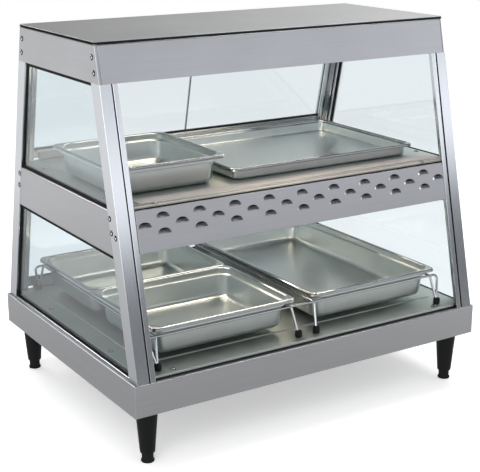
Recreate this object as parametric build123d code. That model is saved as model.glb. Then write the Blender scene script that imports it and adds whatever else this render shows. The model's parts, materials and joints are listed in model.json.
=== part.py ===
from build123d import *
import math
import os

# Heated display case. Millimetres, +Z up, origin on the floor under the middle of the case.
# Left is -X, the customer's side is -Y, and the server's doors and the controls are at +Y.

# Overall sizes
CASE_W = 826.0          # base, left to right
CASE_D = 614.0          # base, front to back
CASE_H = 781.0          # floor to canopy top
BASE_BOTTOM = 110.0     # floor to underside of the base
BASE_H = 63.0
FRAME_SIDE = 7.0        # base side to the outside of the posts and of the canopy
FRAME_SETBACK = 1.8     # base front to the foot of the posts
CANOPY_TOP_D = 337.0
CANOPY_H = 74.5
SHELF_TOP = 481.0       # floor to the top of the shelf's fascia
SHELF_H = 77.0
BAND_DROP = 7.0         # shelf end bands reach this far below the fascia

# Sheet metal
SHEET = 1.2
BOTTOM_T = 2.0
RIM_W = 50.0            # inward flange on top of the base walls
RETURN_W = 30.0         # flanges behind the shelf's fascia
BAND_RETURN = 33.0
CANOPY_RETURN = 22.0
FASCIA_GAP = 1.0        # each end of a fascia to its post
LID_T = 1.4             # canopy's top sheet
LID_SEAL_T = 1.1
LID_SEAL_INSET = 2.0
LID_SEAL_W = 14.0

# Corner posts, an L-shaped extrusion
POST_FRONT = 38.0
POST_SIDE = 34.0
POST_T = 17.0
POST_ROUND = 2.5
POST_GROOVE_AT = 24.0   # from the outer edge of the front leg
POST_GROOVE_W = 3.0
POST_GROOVE_D = 6.0

# Side glass
GLASS_T = 4.0
GASKET_T = 1.5          # each side of the glass
GLAZING_DEPTH = 8.0     # groove in the posts
GLAZING_FLOOR = 2.0     # gasket under the edge of the glass
GASKET_LIP = 3.0        # gasket showing past the post

# Heated decks
DECK_SEAL_T = 3.0
DECK_LIP = {"base": 4.5, "shelf": 2.5}
DECK_SIDE_GAP = 1.0     # deck edge to the inside of the posts' side legs
DECK_SETBACK = {"base": 9.5, "shelf": 3.0}  # deck edge behind the leaning face
DECK_SEAL_W = 5.0
DECK_SEAL_INSET = 2.0
PAD_H = 2.0             # raised heated field
PAD_SLOPE = 0.9         # share of its height that slopes at the edge
PAD_BORDER_X = 38.0
PAD_BORDER_Y = {"base": 63.0, "shelf": 16.0}
MAT_T = 1.0
MAT_BORDER = 30.0       # field edge to the heater under it
INSULATION_T = 25.0     # blanket under each heater
DECK_CORNER_CLEAR = 1.0

# Legs and adjustable feet
LEG_IN_X = 42.0         # base side to the middle of a leg
LEG_IN_Y = 37.0         # base front to the middle of a leg
LEG_TOP_R = 21.0
LEG_END_R = 14.5
LEG_FLANGE_R = 26.0
LEG_FLANGE_T = 4.0
LEG_END_Z = 19.0
FOOT_R = 11.5
FOOT_PAD_R = 13.0
FOOT_PAD_H = 5.0
FOOT_GAP = 0.3
STEM_R = 5.0
STEM_L = 36.0

# Louvres in the shelf's front
LOUVRE_W = 29.0
LOUVRE_H = 10.5
LOUVRE_PITCH = 78.0
LOUVRE_ROWS = ((18.0, 9), (32.5, 10), (47.0, 9))    # drop below the shelf top, count
LOUVRE_TILT = 32.0
LOUVRE_T = 0.8
LOUVRE_SLIT = 0.6

# Rear doors
DOOR_DEPTH = 8.0        # middle of the door behind the posts' rear face
DOOR_GLASS_T = 5.0
DOOR_GAP = 2.0          # between the two glass panes of a level
DOOR_SIDE_GAP = 1.2
DOOR_CLEAR = 4.0        # bottom of the door above the heated field
HINGE_DROP = 10.0       # hinge axis below what carries it
BARREL_R = 8.0
PIN_R = 3.0
PIN_L = 7.0
RUN_FIT = 0.05          # radial play of pins and shafts
BRACKET_W = 10.0
BRACKET_HALF = 8.0
RAIL_T = 12.0
RAIL_H = 22.0
GLASS_IN_RAIL = 8.0
GRIP_H = 5.0
GRIP_D = 4.0
SILL_T = 2.0
SILL_H = 20.0
SILL_SIDE = 12.0        # sill end to the post
REST_GAP = 0.3

# Lamps under the canopy and under the shelf
LAMP_R = 8.0
LAMP_L = 540.0
LAMP_DROP = 13.0
REFLECTOR_W = 30.0
REFLECTOR_MOUTH = 56.0
REFLECTOR_H = 21.0
SOCKET_T = 22.0
SOCKET_W = 24.0
SOCKET_GRIP = 8.0
LAMP_FIT = 0.1

# Controls in the back of the base
PANEL_X0 = 150.0
PANEL_X1 = 350.0
PANEL_LOW = 9.0         # window edge above the base's underside
PANEL_HIGH = 9.0        # window edge below the base's top
PANEL_DEPTH = 18.8
PANEL_T = 1.5
KNOB_X = (185.0, 235.0)
KNOB_R = 15.0
KNOB_T = 15.0
KNOB_GAP = 1.0
KNOB_CHAMFER = 1.2
POINTER_W = 4.0
POINTER_H = 1.2         # above the knob's face
POINTER_SINK = 0.5
POINTER_END = 2.0       # pointer's tip to the knob's rim
SHAFT_R = 3.0
SHAFT_IN = 12.0
THERMOSTAT = 36.0
THERMOSTAT_D = 28.0
SWITCH_X = (285.0, 325.0)
ROCKER_W = 12.0
ROCKER_H = 22.0
ROCKER_T = 9.0
ROCKER_TILT = 8.0
ROCKER_PLAY = 0.5
ROCKER_SWEEP = 1.8
SWITCH_WALL = 2.5
SWITCH_RIM = 2.0
SWITCH_FLANGE = 2.0
SWITCH_D = 12.0
ROCKER_PIN_R = 1.5
ROCKER_PIN_L = 1.6

# Mains inlet
GLAND_IN_X = 83.0       # base side to the middle of the gland
GLAND_IN_Y = 52.0       # base rear to the middle of the gland
GLAND_R = 10.0
GLAND_L = 12.0
GLAND_THREAD_R = 7.5
GLAND_BORE_R = 5.0
GLAND_NUT_R = 11.0
GLAND_NUT_T = 5.0
TERMINAL = (60.0, 26.0, 20.0)
TERMINAL_GAP = 90.0     # gland to the middle of the terminal block

# Dome-headed screws
SCREW_HEAD_R = 4.0
SCREW_HEAD_H = 2.4
SCREW_DOME = 0.85       # share of the head's height that is rounded
SCREW_R = 2.0
SCREW_L = 5.0
SCREW_FIT = 0.1
END_SCREW_IN = 15.0     # canopy end screws behind the sloping edge
END_SCREW_Z = (18.5, 46.5)      # above the canopy's underside
BAND_SCREW_IN = 6.0     # shelf screws from the inner edge of the post's side leg
BAND_SCREW_Z = (14.0, 40.0)     # below the shelf top
DECK_SCREW_X = 320.0
DECK_SCREW_FRONT = {"base": 13.0, "shelf": 9.5}  # from the deck's front edge
DECK_SCREW_SIDE = 12.0          # from the deck's side edge
DECK_SCREW_SIDE_Y = 141.0

# Food pans, their wire rack and a sheet tray
PAN_W = 325.0
PAN_L = 530.0
PAN_DEPTH = 62.0
PAN_CORNER = 38.0
PAN_FLANGE = 6.5
PAN_LIP = 5.0
PAN_LIP_T = 1.8
PAN_WALL = 1.0
PAN_COLLAR = 14.0       # rim to the stacking shoulder
PAN_SHOULDER = 6.0
PAN_TAPER = 8.0
PAN_FILLET = 9.0
PAN_SPLIT = 1.0         # between two half-size pans
RACK_GAP = 39.0         # between the pans of the two places on the rack
RACK_SHIFT = -6.0       # middle of the rack from the middle of the case
RACK_Y = 0.0
RACK_LIFT = 14.5        # pan bottom above the deck's border
WIRE_R = 2.5
WIRE_BEND = 8.0         # bend of a wire, along its middle
WIRE_GAP = 1.0          # pan wall to wire
WIRE_PAST = 20.0        # end wires run on past the outer side wires
BOOT_R = 7.0
BOOT_H = 14.0
BOOT_OUT_X = 6.0        # outer boots beyond the outer side wires
BOOT_IN_X = 6.5         # inner boots inside the inner side wires
BOOT_OUT_Y = 18.0       # boots beyond the end wires
BOOT_FLOOR = 4.0
SHELF_PAN_W = 250.0
SHELF_PAN_L = 270.0
SHELF_PAN_DEPTH = 58.0
SHELF_PAN_EDGE = 5.0    # pan to the deck's left edge
SHELF_PAN_Y = -43.5
TRAY_W = 457.0
TRAY_L = 330.0
TRAY_DEPTH = 25.4
TRAY_CORNER = 26.0
TRAY_FLANGE = 5.0
TRAY_FILLET = 4.0
TRAY_GAP = 15.0         # shelf pan to tray
TRAY_Y = -10.0

# Levels and leans worked out from the sizes above
BASE_TOP = BASE_BOTTOM + BASE_H
CANOPY_BOTTOM = CASE_H - CANOPY_H
SHELF_BOTTOM = SHELF_TOP - SHELF_H
BAND_BOTTOM = SHELF_BOTTOM - BAND_DROP
PANEL_TOP = CASE_H - LID_T - LID_SEAL_T
LEAN = (CASE_D / 2 - FRAME_SETBACK - CANOPY_TOP_D / 2) / (CASE_H - BASE_TOP)
FRAME_X = CASE_W / 2 - FRAME_SIDE
POST_INNER_X = FRAME_X - POST_FRONT
SIDE_INNER_X = FRAME_X - POST_T
GLASS_X = FRAME_X - POST_T / 2
GROOVE_W = GLASS_T + 2 * GASKET_T
FASCIA_X = POST_INNER_X - FASCIA_GAP
DECK_X = SIDE_INNER_X - DECK_SIDE_GAP
RACK_X = (PAN_W + RACK_GAP) / 2
SHELF_PAN_X = SHELF_PAN_EDGE + SHELF_PAN_W / 2 - DECK_X
TRAY_X = SHELF_PAN_X + SHELF_PAN_W / 2 + TRAY_GAP + TRAY_W / 2
SEAL_Z = {"base": BASE_TOP, "shelf": SHELF_TOP}
DECK_TOP = {level: SEAL_Z[level] + DECK_SEAL_T + DECK_LIP[level] for level in SEAL_Z}
FLOOR_IN = BASE_BOTTOM + BOTTOM_T
GLAND_X = GLAND_IN_X - CASE_W / 2
GLAND_Y = CASE_D / 2 - GLAND_IN_Y
TERMINAL_X = GLAND_X + TERMINAL_GAP
PANEL_Z0 = BASE_BOTTOM + PANEL_LOW
PANEL_Z1 = BASE_TOP - PANEL_HIGH
CONTROL_Z = (PANEL_Z0 + PANEL_Z1) / 2
PANEL_Y = CASE_D / 2 - SHEET - PANEL_DEPTH
GLASS_LEVELS = ((BASE_TOP, BAND_BOTTOM), (SHELF_TOP, CANOPY_BOTTOM))
RIM_Z = DECK_TOP["base"] + RACK_LIFT + PAN_DEPTH
WIRE_Z = RIM_Z - PAN_COLLAR - REST_GAP - WIRE_R
LOWER_FIELD = DECK_TOP["base"] + PAD_H
UPPER_FIELD = DECK_TOP["shelf"] + PAD_H
HINGE_CARRIERS = {"upper": (CANOPY_BOTTOM, UPPER_FIELD), "lower": (SHELF_BOTTOM, LOWER_FIELD)}
BOTH_X = {"left": -1, "right": 1}

os.makedirs("parts", exist_ok=True)


def save(name, *solids):
    """Write one node; several solids become one group."""
    shape = solids[0] if len(solids) == 1 else Compound(children=list(solids))
    export_step(shape, f"parts/{name}.step")


def face_y(z):
    """Distance of the leaning front or rear face from the middle plane at height z."""
    return CANOPY_TOP_D / 2 + (CASE_H - z) * LEAN


def deck_y(level):
    """Distance of a deck's front or rear edge from the middle plane."""
    return face_y(SEAL_Z[level]) - DECK_SETBACK[level]


def block(x0, x1, y0, y1, z0, z1):
    """Box between two corners."""
    return Pos((x0 + x1) / 2, (y0 + y1) / 2, (z0 + z1) / 2) * Box(x1 - x0, y1 - y0, z1 - z0)


def along_x(points, x0, x1):
    """Outline of (y, z) points carried from x0 to x1."""
    outline = make_face(Polyline(*points, close=True))
    return extrude(Plane.YZ.offset(x0) * outline, amount=x1 - x0)


def leaning(side, x0, x1, near, far, z0, z1):
    """Slab parallel to the leaning face, between two depths behind it; side -1 is front, +1 rear."""
    corners = ((near, z0), (near, z1), (far, z1), (far, z0))
    return along_x([(side * (face_y(z) - depth), z) for depth, z in corners], x0, x1)


def end_slab(x0, x1, inset, z0, z1):
    """Trapezoid between the two leaning faces, drawn in from both by inset."""
    low, high = face_y(z0) - inset, face_y(z1) - inset
    return along_x([(-low, z0), (low, z0), (high, z1), (-high, z1)], x0, x1)


def pair_x(solid):
    """A solid and its mirror image on the other end of the case."""
    return [solid, mirror(solid, Plane.YZ)]


def rod(start, end, radius):
    """Round bar between two points."""
    run = Vector(*end) - Vector(*start)
    lower_end = (Align.CENTER, Align.CENTER, Align.MIN)
    return Plane(origin=start, z_dir=run) * Cylinder(radius, run.length, align=lower_end)


def dome_screw(at, out):
    """Screw with a domed head that sits at a point and looks along out."""
    head = rod((0, 0, 0), (0, 0, SCREW_HEAD_H), SCREW_HEAD_R)
    head = fillet(head.edges().sort_by(Axis.Z)[-1], SCREW_HEAD_H * SCREW_DOME)
    return Plane(origin=at, z_dir=out) * (head + rod((0, 0, -SCREW_L), (0, 0, 0), SCREW_R))


def screw_hole(at, out):
    """Clearance hole under a screw's head."""
    back = Vector(*at) - Vector(*out) * (2 * SCREW_L)
    return rod(tuple(back), at, SCREW_R + SCREW_FIT)


def cut(solid, tools):
    """Take every tool away from a solid."""
    for tool in tools:
        solid = solid - tool
    return solid


def base_shell():
    """Four walls with a flange turned in along the top and a window for the controls."""
    walls = block(-CASE_W / 2, CASE_W / 2, -CASE_D / 2, CASE_D / 2, BASE_BOTTOM, BASE_TOP)
    inside_x, inside_y = CASE_W / 2 - SHEET, CASE_D / 2 - SHEET
    walls -= block(-inside_x, inside_x, -inside_y, inside_y, BASE_BOTTOM, BASE_TOP - SHEET)
    mouth_x, mouth_y = CASE_W / 2 - RIM_W, CASE_D / 2 - RIM_W
    walls -= block(-mouth_x, mouth_x, -mouth_y, mouth_y, BASE_BOTTOM, BASE_TOP)
    window = block(PANEL_X0, PANEL_X1, 0, CASE_D / 2, PANEL_Z0, PANEL_Z1)
    return walls - window


def leg(x, y):
    """Tapered leg with a flange under the base and a bore for the foot's stem."""
    cone_h = BASE_BOTTOM - LEG_FLANGE_T - LEG_END_Z
    cone = Pos(x, y, LEG_END_Z + cone_h / 2) * Cone(LEG_END_R, LEG_TOP_R, cone_h)
    flange = Pos(x, y, BASE_BOTTOM - LEG_FLANGE_T / 2) * Cylinder(LEG_FLANGE_R, LEG_FLANGE_T)
    bore_top = LEG_END_Z + STEM_L + FOOT_GAP
    return cone + flange - rod((x, y, 0), (x, y, bore_top), STEM_R + RUN_FIT)


def foot(x, y):
    """Screw-in foot: a pad, a shoulder and the stem inside the leg."""
    shoulder_top = LEG_END_Z - FOOT_GAP
    shape = rod((x, y, 0), (x, y, FOOT_PAD_H), FOOT_PAD_R)
    shape += rod((x, y, FOOT_PAD_H), (x, y, shoulder_top), FOOT_R)
    return shape + rod((x, y, shoulder_top), (x, y, LEG_END_Z + STEM_L - FOOT_GAP), STEM_R)


def deck(level):
    """Shallow pressed tray with a turned-down lip, notched round the posts, and a raised field."""
    z, lip, half_y = DECK_TOP[level], DECK_LIP[level], deck_y(level)
    shell = notched(level, 0, z - lip, z)
    shell -= notched(level, SHEET, z - lip, z - SHEET)
    field_x, field_y = DECK_X - PAD_BORDER_X, half_y - PAD_BORDER_Y[level]
    field = block(-field_x, field_x, -field_y, field_y, z, z + PAD_H)
    field = chamfer(field.faces().sort_by(Axis.Z)[-1].edges(), PAD_H * PAD_SLOPE)
    under_x, under_y = field_x - PAD_H, field_y - PAD_H
    return shell + field - block(-under_x, under_x, -under_y, under_y, z - SHEET, z + PAD_H - SHEET)


def notched(level, inset, z0, z1):
    """Plate of a deck's outline, drawn in by inset, with its corners cut out round the leaning posts."""
    half_x, half_y = DECK_X - inset, deck_y(level) - inset
    rise = LEAN * (DECK_SEAL_T + DECK_LIP[level])
    notch_x = DECK_X - POST_INNER_X + DECK_CORNER_CLEAR
    notch_y = POST_T - DECK_SETBACK[level] + rise + DECK_CORNER_CLEAR
    plate = block(-half_x, half_x, -half_y, half_y, z0, z1)
    for sx in (-1, 1):
        for sy in (-1, 1):
            corner = Pos(sx * half_x, sy * half_y, (z0 + z1) / 2)
            plate -= corner * Box(2 * notch_x, 2 * notch_y, z1 - z0)
    return plate


def deck_seal(level):
    """Black seal that the deck's lip stands on."""
    z = SEAL_Z[level]
    ring = notched(level, DECK_SEAL_INSET, z, z + DECK_SEAL_T)
    return ring - notched(level, DECK_SEAL_INSET + DECK_SEAL_W, z, z + DECK_SEAL_T)


def deck_screw_points(level):
    """Screws along the front and both side borders of a deck."""
    z = DECK_TOP[level]
    front_y = DECK_SCREW_FRONT[level] - deck_y(level)
    side_x = DECK_X - DECK_SCREW_SIDE
    points = [(sx * DECK_SCREW_X, front_y, z) for sx in (-1, 1)]
    return points + [(sx * side_x, sy * DECK_SCREW_SIDE_Y, z) for sx in (-1, 1) for sy in (-1, 1)]


def post(side):
    """Right-hand post: L section with a groove in its face and glazing grooves down its side leg."""
    front = leaning(side, POST_INNER_X, FRAME_X, 0, POST_T, BASE_TOP, CANOPY_BOTTOM)
    flank = leaning(side, SIDE_INNER_X, FRAME_X, 0, POST_SIDE, BASE_TOP, CANOPY_BOTTOM)
    shape = front + flank
    corner = shape.edges().filter_by(lambda e: e.center().X > FRAME_X - 0.01)
    corner = corner.sort_by(lambda e: side * e.center().Y)[-1]
    shape = fillet(corner, POST_ROUND)
    groove_x = FRAME_X - POST_GROOVE_AT
    shape -= leaning(side, groove_x - POST_GROOVE_W, groove_x, -1, POST_GROOVE_D, BASE_TOP, CANOPY_BOTTOM)
    for low, high in GLASS_LEVELS:
        shape -= glazing_slot(low, high)
    return shape


def glazing_slot(low, high):
    """Space that a side pane and its gasket fill between the two right-hand posts."""
    half = GROOVE_W / 2
    return end_slab(GLASS_X - half, GLASS_X + half, POST_SIDE - GLAZING_DEPTH, low, high)


def side_glass(low, high):
    """Right-hand pane, standing in its gasket."""
    half = GLASS_T / 2
    inset = POST_SIDE - GLAZING_DEPTH + GLAZING_FLOOR
    return end_slab(GLASS_X - half, GLASS_X + half, inset, low + GLAZING_FLOOR, high - GLAZING_FLOOR)


def glazing_gasket(low, high):
    """U-shaped gasket round the edge of a right-hand pane."""
    half = GROOVE_W / 2
    lip = GLAZING_FLOOR + GASKET_LIP
    window = end_slab(
        GLASS_X - half, GLASS_X + half, POST_SIDE + GASKET_LIP, low + lip, high - lip
    )
    return glazing_slot(low, high) - window - side_glass(low, high)


def louvres(x_and_z):
    """Half-moon slots through the shelf's front and the flaps pushed in behind them."""
    lean_angle = math.degrees(math.atan(LEAN))
    half_moon = make_face(
        [
            Line((-LOUVRE_W / 2, 0), (LOUVRE_W / 2, 0)),
            ThreePointArc((LOUVRE_W / 2, 0), (0, LOUVRE_H), (-LOUVRE_W / 2, 0)),
        ]
    )
    slots, flaps = [], []
    for x, z in x_and_z:
        at = Plane(origin=(x, -face_y(z), z), x_dir=(1, 0, 0), z_dir=(0, -1, 0))
        at = at.rotated((-lean_angle, 0, 0))
        slots.append(extrude(at * half_moon, amount=2 * SHEET, both=True))
        hinge = at.offset(-SHEET / 2)
        tilted = hinge.rotated((-LOUVRE_TILT, 0, 0))
        flaps.append(extrude(tilted * Pos(0, -LOUVRE_SLIT, 0) * half_moon, amount=LOUVRE_T / 2, both=True))
    return slots, flaps


def fascia(side):
    """Shelf front or back: a leaning sheet with a flange turned in along the top and the bottom."""
    outline = [
        (face_y(SHELF_BOTTOM), SHELF_BOTTOM),
        (face_y(SHELF_TOP), SHELF_TOP),
        (face_y(SHELF_TOP) - RETURN_W, SHELF_TOP),
        (face_y(SHELF_TOP) - RETURN_W, SHELF_TOP - SHEET),
        (face_y(SHELF_TOP - SHEET) - SHEET, SHELF_TOP - SHEET),
        (face_y(SHELF_BOTTOM + SHEET) - SHEET, SHELF_BOTTOM + SHEET),
        (face_y(SHELF_BOTTOM) - RETURN_W, SHELF_BOTTOM + SHEET),
        (face_y(SHELF_BOTTOM) - RETURN_W, SHELF_BOTTOM),
    ]
    return along_x([(side * y, z) for y, z in outline], -FASCIA_X, FASCIA_X)


def shelf_front():
    """Front fascia with staggered rows of louvres."""
    places = []
    for drop, count in LOUVRE_ROWS:
        start = -LOUVRE_PITCH * (count - 1) / 2
        places += [(start + LOUVRE_PITCH * i, SHELF_TOP - drop) for i in range(count)]
    slots, flaps = louvres(places)
    return cut(fascia(-1), slots) + flaps


def shelf_band():
    """Right-hand end band: a channel between the side legs of the posts."""
    outer, inner = FRAME_X - SHEET / 2, FRAME_X - BAND_RETURN
    band = end_slab(inner, outer, POST_SIDE, BAND_BOTTOM, SHELF_TOP)
    hollow = end_slab(inner, outer - SHEET, POST_SIDE, BAND_BOTTOM + SHEET, SHELF_TOP - SHEET)
    return band - hollow


def canopy_panel(side):
    """Canopy front or back: a leaning sheet with a flange turned in along the top."""
    top_y = face_y(PANEL_TOP)
    outline = [
        (face_y(CANOPY_BOTTOM), CANOPY_BOTTOM),
        (top_y, PANEL_TOP),
        (top_y - CANOPY_RETURN, PANEL_TOP),
        (top_y - CANOPY_RETURN, PANEL_TOP - SHEET),
        (face_y(PANEL_TOP - SHEET) - SHEET, PANEL_TOP - SHEET),
        (face_y(CANOPY_BOTTOM) - SHEET, CANOPY_BOTTOM),
    ]
    return along_x([(side * y, z) for y, z in outline], SHEET - FRAME_X, FRAME_X - SHEET)


def canopy_end():
    """Right-hand canopy end with a flange under the lid."""
    sheet = end_slab(FRAME_X - SHEET, FRAME_X, 0, CANOPY_BOTTOM, PANEL_TOP)
    flange_y = face_y(PANEL_TOP) - CANOPY_RETURN - SHEET
    inner = FRAME_X - SHEET - CANOPY_RETURN
    return sheet + block(inner, FRAME_X - SHEET, -flange_y, flange_y, PANEL_TOP - SHEET, PANEL_TOP)


def lid_seal():
    """Thin black seal between the canopy's flanges and its lid."""
    half_x = FRAME_X - LID_SEAL_INSET
    half_y = face_y(PANEL_TOP) - LID_SEAL_INSET
    ring = block(-half_x, half_x, -half_y, half_y, PANEL_TOP, PANEL_TOP + LID_SEAL_T)
    half_x, half_y = half_x - LID_SEAL_W, half_y - LID_SEAL_W
    return ring - block(-half_x, half_x, -half_y, half_y, PANEL_TOP, PANEL_TOP + LID_SEAL_T)


def hinge_axis(carrier_z):
    """Height and depth of the hinge line under the canopy or the shelf."""
    z = carrier_z - HINGE_DROP
    return face_y(z) - DOOR_DEPTH, z


def door(carrier_z, floor_z):
    """Right-hand door of a level: glass, and its hinge barrel with pins and its bottom rail."""
    y, z = hinge_axis(carrier_z)
    low = floor_z + DOOR_CLEAR
    outer_x = POST_INNER_X - DOOR_SIDE_GAP
    near, far = DOOR_DEPTH - DOOR_GLASS_T / 2, DOOR_DEPTH + DOOR_GLASS_T / 2
    inner_x = BRACKET_W / 2 + DOOR_SIDE_GAP / 2
    glass = leaning(1, DOOR_GAP / 2, outer_x, near, far, low + RAIL_H - GLASS_IN_RAIL, z - PIN_R)
    bracket_room = BRACKET_HALF + DOOR_GAP
    glass -= block(0, inner_x, y - bracket_room, y + bracket_room, z - bracket_room, z)
    barrel = rod((inner_x, y, z), (outer_x, y, z), BARREL_R)
    barrel += rod((outer_x, y, z), (outer_x + PIN_L, y, z), PIN_R)
    barrel += rod((DOOR_GAP / 4, y, z), (inner_x, y, z), PIN_R)
    rail_near, rail_far = DOOR_DEPTH - RAIL_T / 2, DOOR_DEPTH + RAIL_T / 2
    rail = leaning(1, DOOR_GAP / 2, outer_x, rail_near, rail_far, low, low + RAIL_H)
    rail += leaning(1, DOOR_GAP / 2, outer_x, rail_near - GRIP_D, rail_near, low, low + GRIP_H)
    return glass, [barrel - glass, rail - glass]


def hinge_bracket(carrier_z):
    """Middle bracket that takes the inner pins of both doors of a level."""
    y, z = hinge_axis(carrier_z)
    half = BRACKET_W / 2
    shape = block(-half, half, y - BRACKET_HALF, y + BRACKET_HALF, z, carrier_z)
    shape += rod((-half, y, z), (half, y, z), BRACKET_HALF)
    return shape - rod((-half, y, z), (half, y, z), PIN_R + RUN_FIT)


def pin_hole(carrier_z):
    """Hole in the right-hand rear post for a door's outer pin."""
    y, z = hinge_axis(carrier_z)
    reach = POST_INNER_X - DOOR_SIDE_GAP + PIN_L + REST_GAP
    return rod((POST_INNER_X - 1, y, z), (reach, y, z), PIN_R + RUN_FIT)


def door_sill(deck_z):
    """Strip on the deck that the closed doors lean on."""
    half_x = POST_INNER_X - SILL_SIDE
    near = DOOR_DEPTH + RAIL_T / 2 + REST_GAP
    return leaning(1, -half_x, half_x, near, near + SILL_T, deck_z, deck_z + SILL_H)


def lamp(carrier_z):
    """Tube, reflector and two sockets hanging under a flat plate."""
    z = carrier_z - LAMP_DROP
    tube = rod((-LAMP_L / 2, 0, z), (LAMP_L / 2, 0, z), LAMP_R)
    end = LAMP_L / 2 - SOCKET_GRIP + SOCKET_T
    sockets = []
    for sx in (-1, 1):
        body = Pos(sx * (end - SOCKET_T / 2), 0, carrier_z - SHEET - REFLECTOR_H / 2)
        sockets.append(body * Box(SOCKET_T, SOCKET_W, REFLECTOR_H) - rod(
            (-LAMP_L / 2, 0, z), (LAMP_L / 2, 0, z), LAMP_R + LAMP_FIT
        ))
    top, mouth = REFLECTOR_W / 2, REFLECTOR_MOUTH / 2
    low = carrier_z - REFLECTOR_H
    outline = [
        (-top, carrier_z), (top, carrier_z), (mouth, low), (mouth - SHEET, low),
        (top - SHEET, carrier_z - SHEET), (SHEET - top, carrier_z - SHEET),
        (SHEET - mouth, low), (-mouth, low),
    ]
    return tube, [along_x(outline, -end, end)] + sockets


def control_panel():
    """Recessed tray behind the window in the base's rear wall, with holes for the controls."""
    back = CASE_D / 2 - SHEET - PANEL_DEPTH
    wall = block(
        PANEL_X0 - PANEL_T, PANEL_X1 + PANEL_T, back - PANEL_T, CASE_D / 2 - SHEET,
        PANEL_Z0 - PANEL_T, PANEL_Z1 + PANEL_T,
    )
    wall -= block(PANEL_X0, PANEL_X1, back, CASE_D / 2, PANEL_Z0, PANEL_Z1)
    for x in KNOB_X:
        wall -= rod((x, back - 2 * PANEL_T, CONTROL_Z), (x, back, CONTROL_Z), SHAFT_R + RUN_FIT)
    for x in SWITCH_X:
        wall -= switch_body(x, back)
    return wall


def knob(x, back):
    """Thermostat knob with a raised pointer and its shaft."""
    face = back + KNOB_GAP + KNOB_T
    body = rod((x, back + KNOB_GAP, CONTROL_Z), (x, face, CONTROL_Z), KNOB_R)
    body = chamfer(body.edges().sort_by(Axis.Y)[-1], KNOB_CHAMFER)
    pointer = block(
        x - POINTER_W / 2, x + POINTER_W / 2, face - POINTER_SINK, face + POINTER_H,
        CONTROL_Z, CONTROL_Z + KNOB_R - POINTER_END,
    )
    shaft_end = back - PANEL_T - SHAFT_IN + REST_GAP
    shaft = rod((x, shaft_end, CONTROL_Z), (x, back + KNOB_GAP, CONTROL_Z), SHAFT_R)
    return body + pointer + shaft


def thermostat(x, back):
    """Thermostat block behind the panel, bored for the knob's shaft."""
    rear = back - PANEL_T
    half = THERMOSTAT / 2
    body = block(x - half, x + half, rear - THERMOSTAT_D, rear, CONTROL_Z - half, CONTROL_Z + half)
    return body - rod((x, rear - SHAFT_IN, CONTROL_Z), (x, rear, CONTROL_Z), SHAFT_R + RUN_FIT)


def switch_body(x, back):
    """Outside of a rocker switch's housing where it passes through the panel."""
    half_x = ROCKER_W / 2 + ROCKER_PLAY + SWITCH_WALL
    half_z = ROCKER_H / 2 + ROCKER_SWEEP + SWITCH_WALL
    return block(x - half_x, x + half_x, back - SWITCH_D, back, CONTROL_Z - half_z, CONTROL_Z + half_z)


def switch_housing(x, back):
    """Housing with a flange on the panel and a well for the rocker."""
    half_x = ROCKER_W / 2 + ROCKER_PLAY
    half_z = ROCKER_H / 2 + ROCKER_SWEEP
    rim_x, rim_z = half_x + SWITCH_WALL + SWITCH_RIM, half_z + SWITCH_WALL + SWITCH_RIM
    shape = switch_body(x, back)
    shape += block(x - rim_x, x + rim_x, back, back + SWITCH_FLANGE, CONTROL_Z - rim_z, CONTROL_Z + rim_z)
    shape -= block(
        x - half_x, x + half_x, back - SWITCH_D + SWITCH_WALL, back + SWITCH_FLANGE,
        CONTROL_Z - half_z, CONTROL_Z + half_z,
    )
    pin = half_x + ROCKER_PIN_L
    return shape - rod((x - pin, back, CONTROL_Z), (x + pin, back, CONTROL_Z), ROCKER_PIN_R + RUN_FIT)


def rocker(x, back):
    """Rocker at rest with its upper end pressed in, on two short pins."""
    half_z = ROCKER_H / 2
    crown = math.tan(math.radians(ROCKER_TILT)) * half_z
    outline = [
        (-ROCKER_T / 2, -half_z), (ROCKER_T / 2 + crown, -half_z), (ROCKER_T / 2, 0),
        (ROCKER_T / 2 + crown, half_z), (-ROCKER_T / 2, half_z),
    ]
    shape = along_x(outline, -ROCKER_W / 2, ROCKER_W / 2)
    reach = ROCKER_W / 2 + ROCKER_PLAY + ROCKER_PIN_L - REST_GAP
    shape += rod((-reach, 0, 0), (reach, 0, 0), ROCKER_PIN_R)
    return Pos(x, back, CONTROL_Z) * Rot(ROCKER_TILT, 0, 0) * shape


def cable_gland():
    """Inlet through the bottom plate: body below, thread through the plate, nut above."""
    low, high = BASE_BOTTOM - GLAND_L, FLOOR_IN + GLAND_NUT_T
    shape = rod((GLAND_X, GLAND_Y, low), (GLAND_X, GLAND_Y, BASE_BOTTOM), GLAND_R)
    shape += rod((GLAND_X, GLAND_Y, low), (GLAND_X, GLAND_Y, high), GLAND_THREAD_R)
    nut = extrude(Pos(GLAND_X, GLAND_Y, FLOOR_IN) * RegularPolygon(GLAND_NUT_R, 6), amount=GLAND_NUT_T)
    return shape + nut - rod((GLAND_X, GLAND_Y, low), (GLAND_X, GLAND_Y, high), GLAND_BORE_R)


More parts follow.
